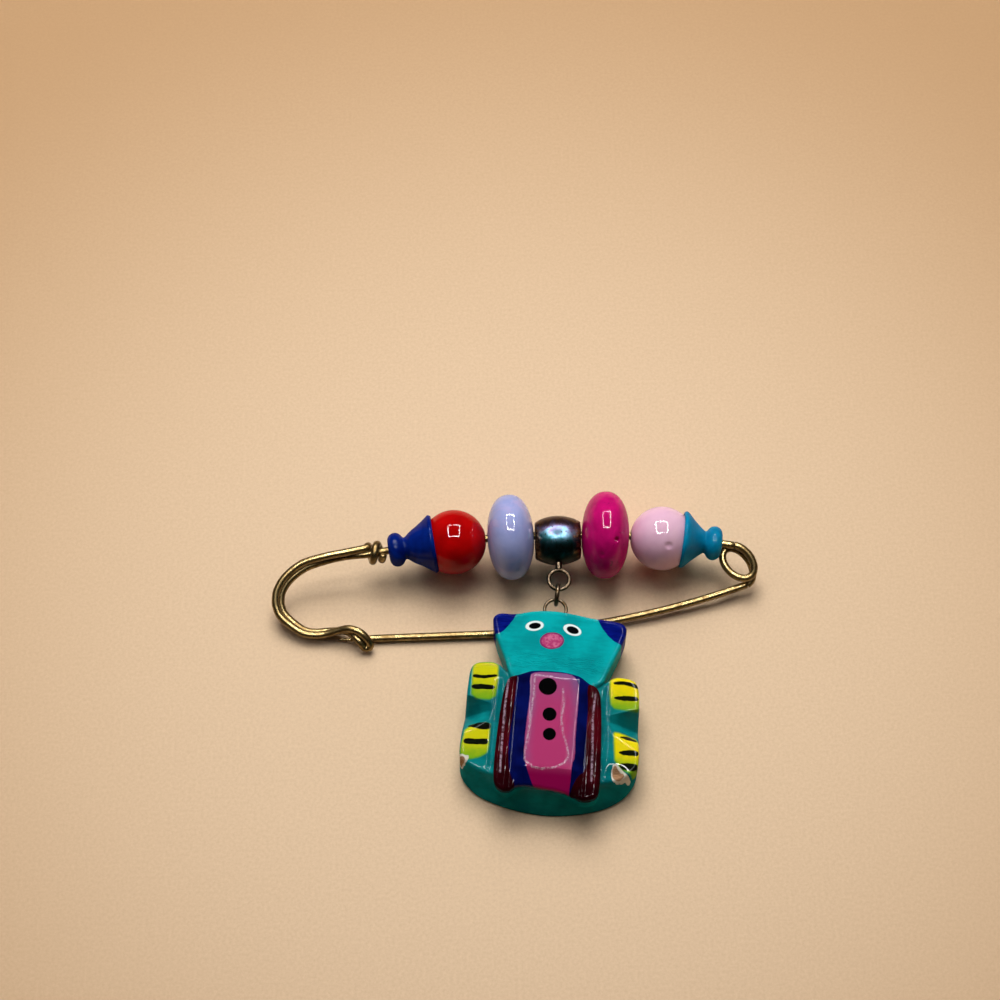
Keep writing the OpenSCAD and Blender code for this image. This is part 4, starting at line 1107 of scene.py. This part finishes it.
bear_v, bear_f = net(bear_distance, (-14.2, -1.6, -0.4), (14.8, 30.9, 9.3), 0.17)
mesh("bear_carved", on_table(on_bear(bear_v)), bear_f, "brooch", "bear", "bear_paint", bear_paint(),
     bear_fields(bear_v))


# Beige paper: matt, with a painted pool of light that makes it lighter at the middle, and a grain drawn
# coarser than real fibres so that it shows
def paper():
    m, t, out, place = material("beige_paper")
    grain = add(t, "noise", place, per_mm(0.5), 4, 0.7)
    away = add(t, "ShaderNodeVectorMath", named={0: place}, out="Value", operation="LENGTH")
    # Painted pool of light: lighter at the middle, darker further out
    base = two(t, "#E8CBA8", "#BE976C", away, 0.03, 0.16)
    col = add(t, "mix", add(t, "spread", grain, 0.3, 0.7, 0, 0.22), base, linear("#A88058"))
    shader = add(t, "ShaderNodeBsdfPrincipled", named={
        "Base Color": col, "Roughness": 0.85, "Specular IOR Level": 0.2,
        "Normal": add(t, "bump", grain, 0.05 * MM, 0.4)})
    t.links.new(shader, out.inputs[0])
    return m


def table():
    me = bpy.data.meshes.new("table")
    half, below = 1.6, -0.00002
    corners = [(x * half, y * half, below) for x, y in ((-1, -1), (1, -1), (1, 1), (-1, 1))]
    me.from_pydata(corners, [], [(0, 1, 2, 3)])
    me.materials.append(paper())
    o = bpy.data.objects.new("table", me)
    bpy.context.scene.collection.objects.link(o)


# Lamp powers in watts: the frame seen in the highlights, the key and the top light, and the sides
SHINE_W, KEY_W, TOP_W, SIDE_W = 2.4, 3.1, 3.5, 0.10


def panel_light(name, at, target, sx, sy, power, colour=(1, 1, 1)):
    d = bpy.data.lights.new(name, "AREA")
    d.shape, d.size, d.size_y, d.energy, d.color = "RECTANGLE", sx, sy, power, colour
    o = bpy.data.objects.new(name, d)
    o.location = at
    o.rotation_mode = "QUATERNION"
    o.rotation_quaternion = (Vector(target) - Vector(at)).to_track_quat("-Z", "Y")
    bpy.context.scene.collection.objects.link(o)
    return o


def lamps():
    """A frame of strips for the gloss to mirror, soft light from behind, a dim panel at each side."""
    far, half_x, half_y, wide = 0.54, 0.178, 0.212, 0.026
    aim = math.radians(74)
    mid = Vector((0, math.cos(aim), math.sin(aim))) * far
    mid.y += 0.012
    look = (-mid).to_track_quat("-Z", "Y")
    x_dir, y_dir = look @ Vector((1, 0, 0)), look @ Vector((0, 1, 0))
    for k, (dx, dy) in enumerate(((0, 1), (0, -1), (1, 0), (-1, 0))):
        sx, sy = (wide, 2 * half_y - wide) if dx else (2 * half_x + wide, wide)
        at = mid + x_dir * dx * half_x + y_dir * dy * half_y
        o = panel_light("shine_%d" % k, at, (0, 0, 0), sx, sy, SHINE_W)
        o.rotation_quaternion = look
        o.visible_diffuse = False
    high = 0.75
    for name, power, steep, sx, sy in (("key", KEY_W, 50, 0.48, 0.40), ("top", TOP_W, 68, 0.52, 0.44)):
        aim = math.radians(steep)
        at = (-0.03, 0.02 + high * math.cos(aim), high * math.sin(aim))
        o = panel_light(name, at, (0, 0.01, 0), sx, sy, power)
        o.visible_glossy = False
    for k, s in enumerate((-1, 1)):
        at = (0.27 * s, 0.03, 0.25)
        o = panel_light("side_%d" % k, at, (0, 0, 0.005), 0.20, 0.20, SIDE_W, (1.0, 0.9, 0.86))
        o.visible_glossy = False


def surroundings():
    w = bpy.data.worlds.new("studio")
    w.use_nodes = True
    t = w.node_tree
    t.nodes.clear()
    seen = add(t, "ShaderNodeTexCoord", out="Generated")
    way = add(t, "ShaderNodeSeparateXYZ", named={0: seen}).node.outputs
    back = add(t, "plus", add(t, "times", way[1], 0.75), add(t, "times", way[2], 0.35))
    level = add(t, "ease", back, -0.35, 0.95, 0.01, 0.08)
    shader = add(t, "ShaderNodeBackground", named={"Color": (1.0, 0.82, 0.64, 1), "Strength": level})
    out = t.nodes.new("ShaderNodeOutputWorld")
    t.links.new(shader, out.inputs[0])
    bpy.context.scene.world = w


def camera():
    """Stands in front of the bear and looks down at it by 62.5 degrees."""
    e, az = math.radians(62.5), math.radians(-1.15)
    right = Vector((math.cos(az), math.sin(az), 0))
    ahead = Vector((-math.sin(az) * math.cos(e), math.cos(az) * math.cos(e), -math.sin(e)))
    up = right.cross(ahead)
    d = bpy.data.cameras.new("camera")
    d.sensor_width, d.lens = 36, 36 * 2.255
    d.clip_start, d.clip_end = 0.01, 10
    o = bpy.data.objects.new("camera", d)
    at = Vector((-11.77 + CENTRE[0] - 0.535, -158.33 + CENTRE[1] - 0.85, 325.12)) * MM
    o.matrix_world = Matrix.Translation(at) @ Matrix((right, up, -ahead)).transposed().to_4x4()
    bpy.context.scene.collection.objects.link(o)
    bpy.context.scene.camera = o


table()
lamps()
surroundings()
camera()
view = bpy.context.scene.view_settings
view.view_transform = "Standard"
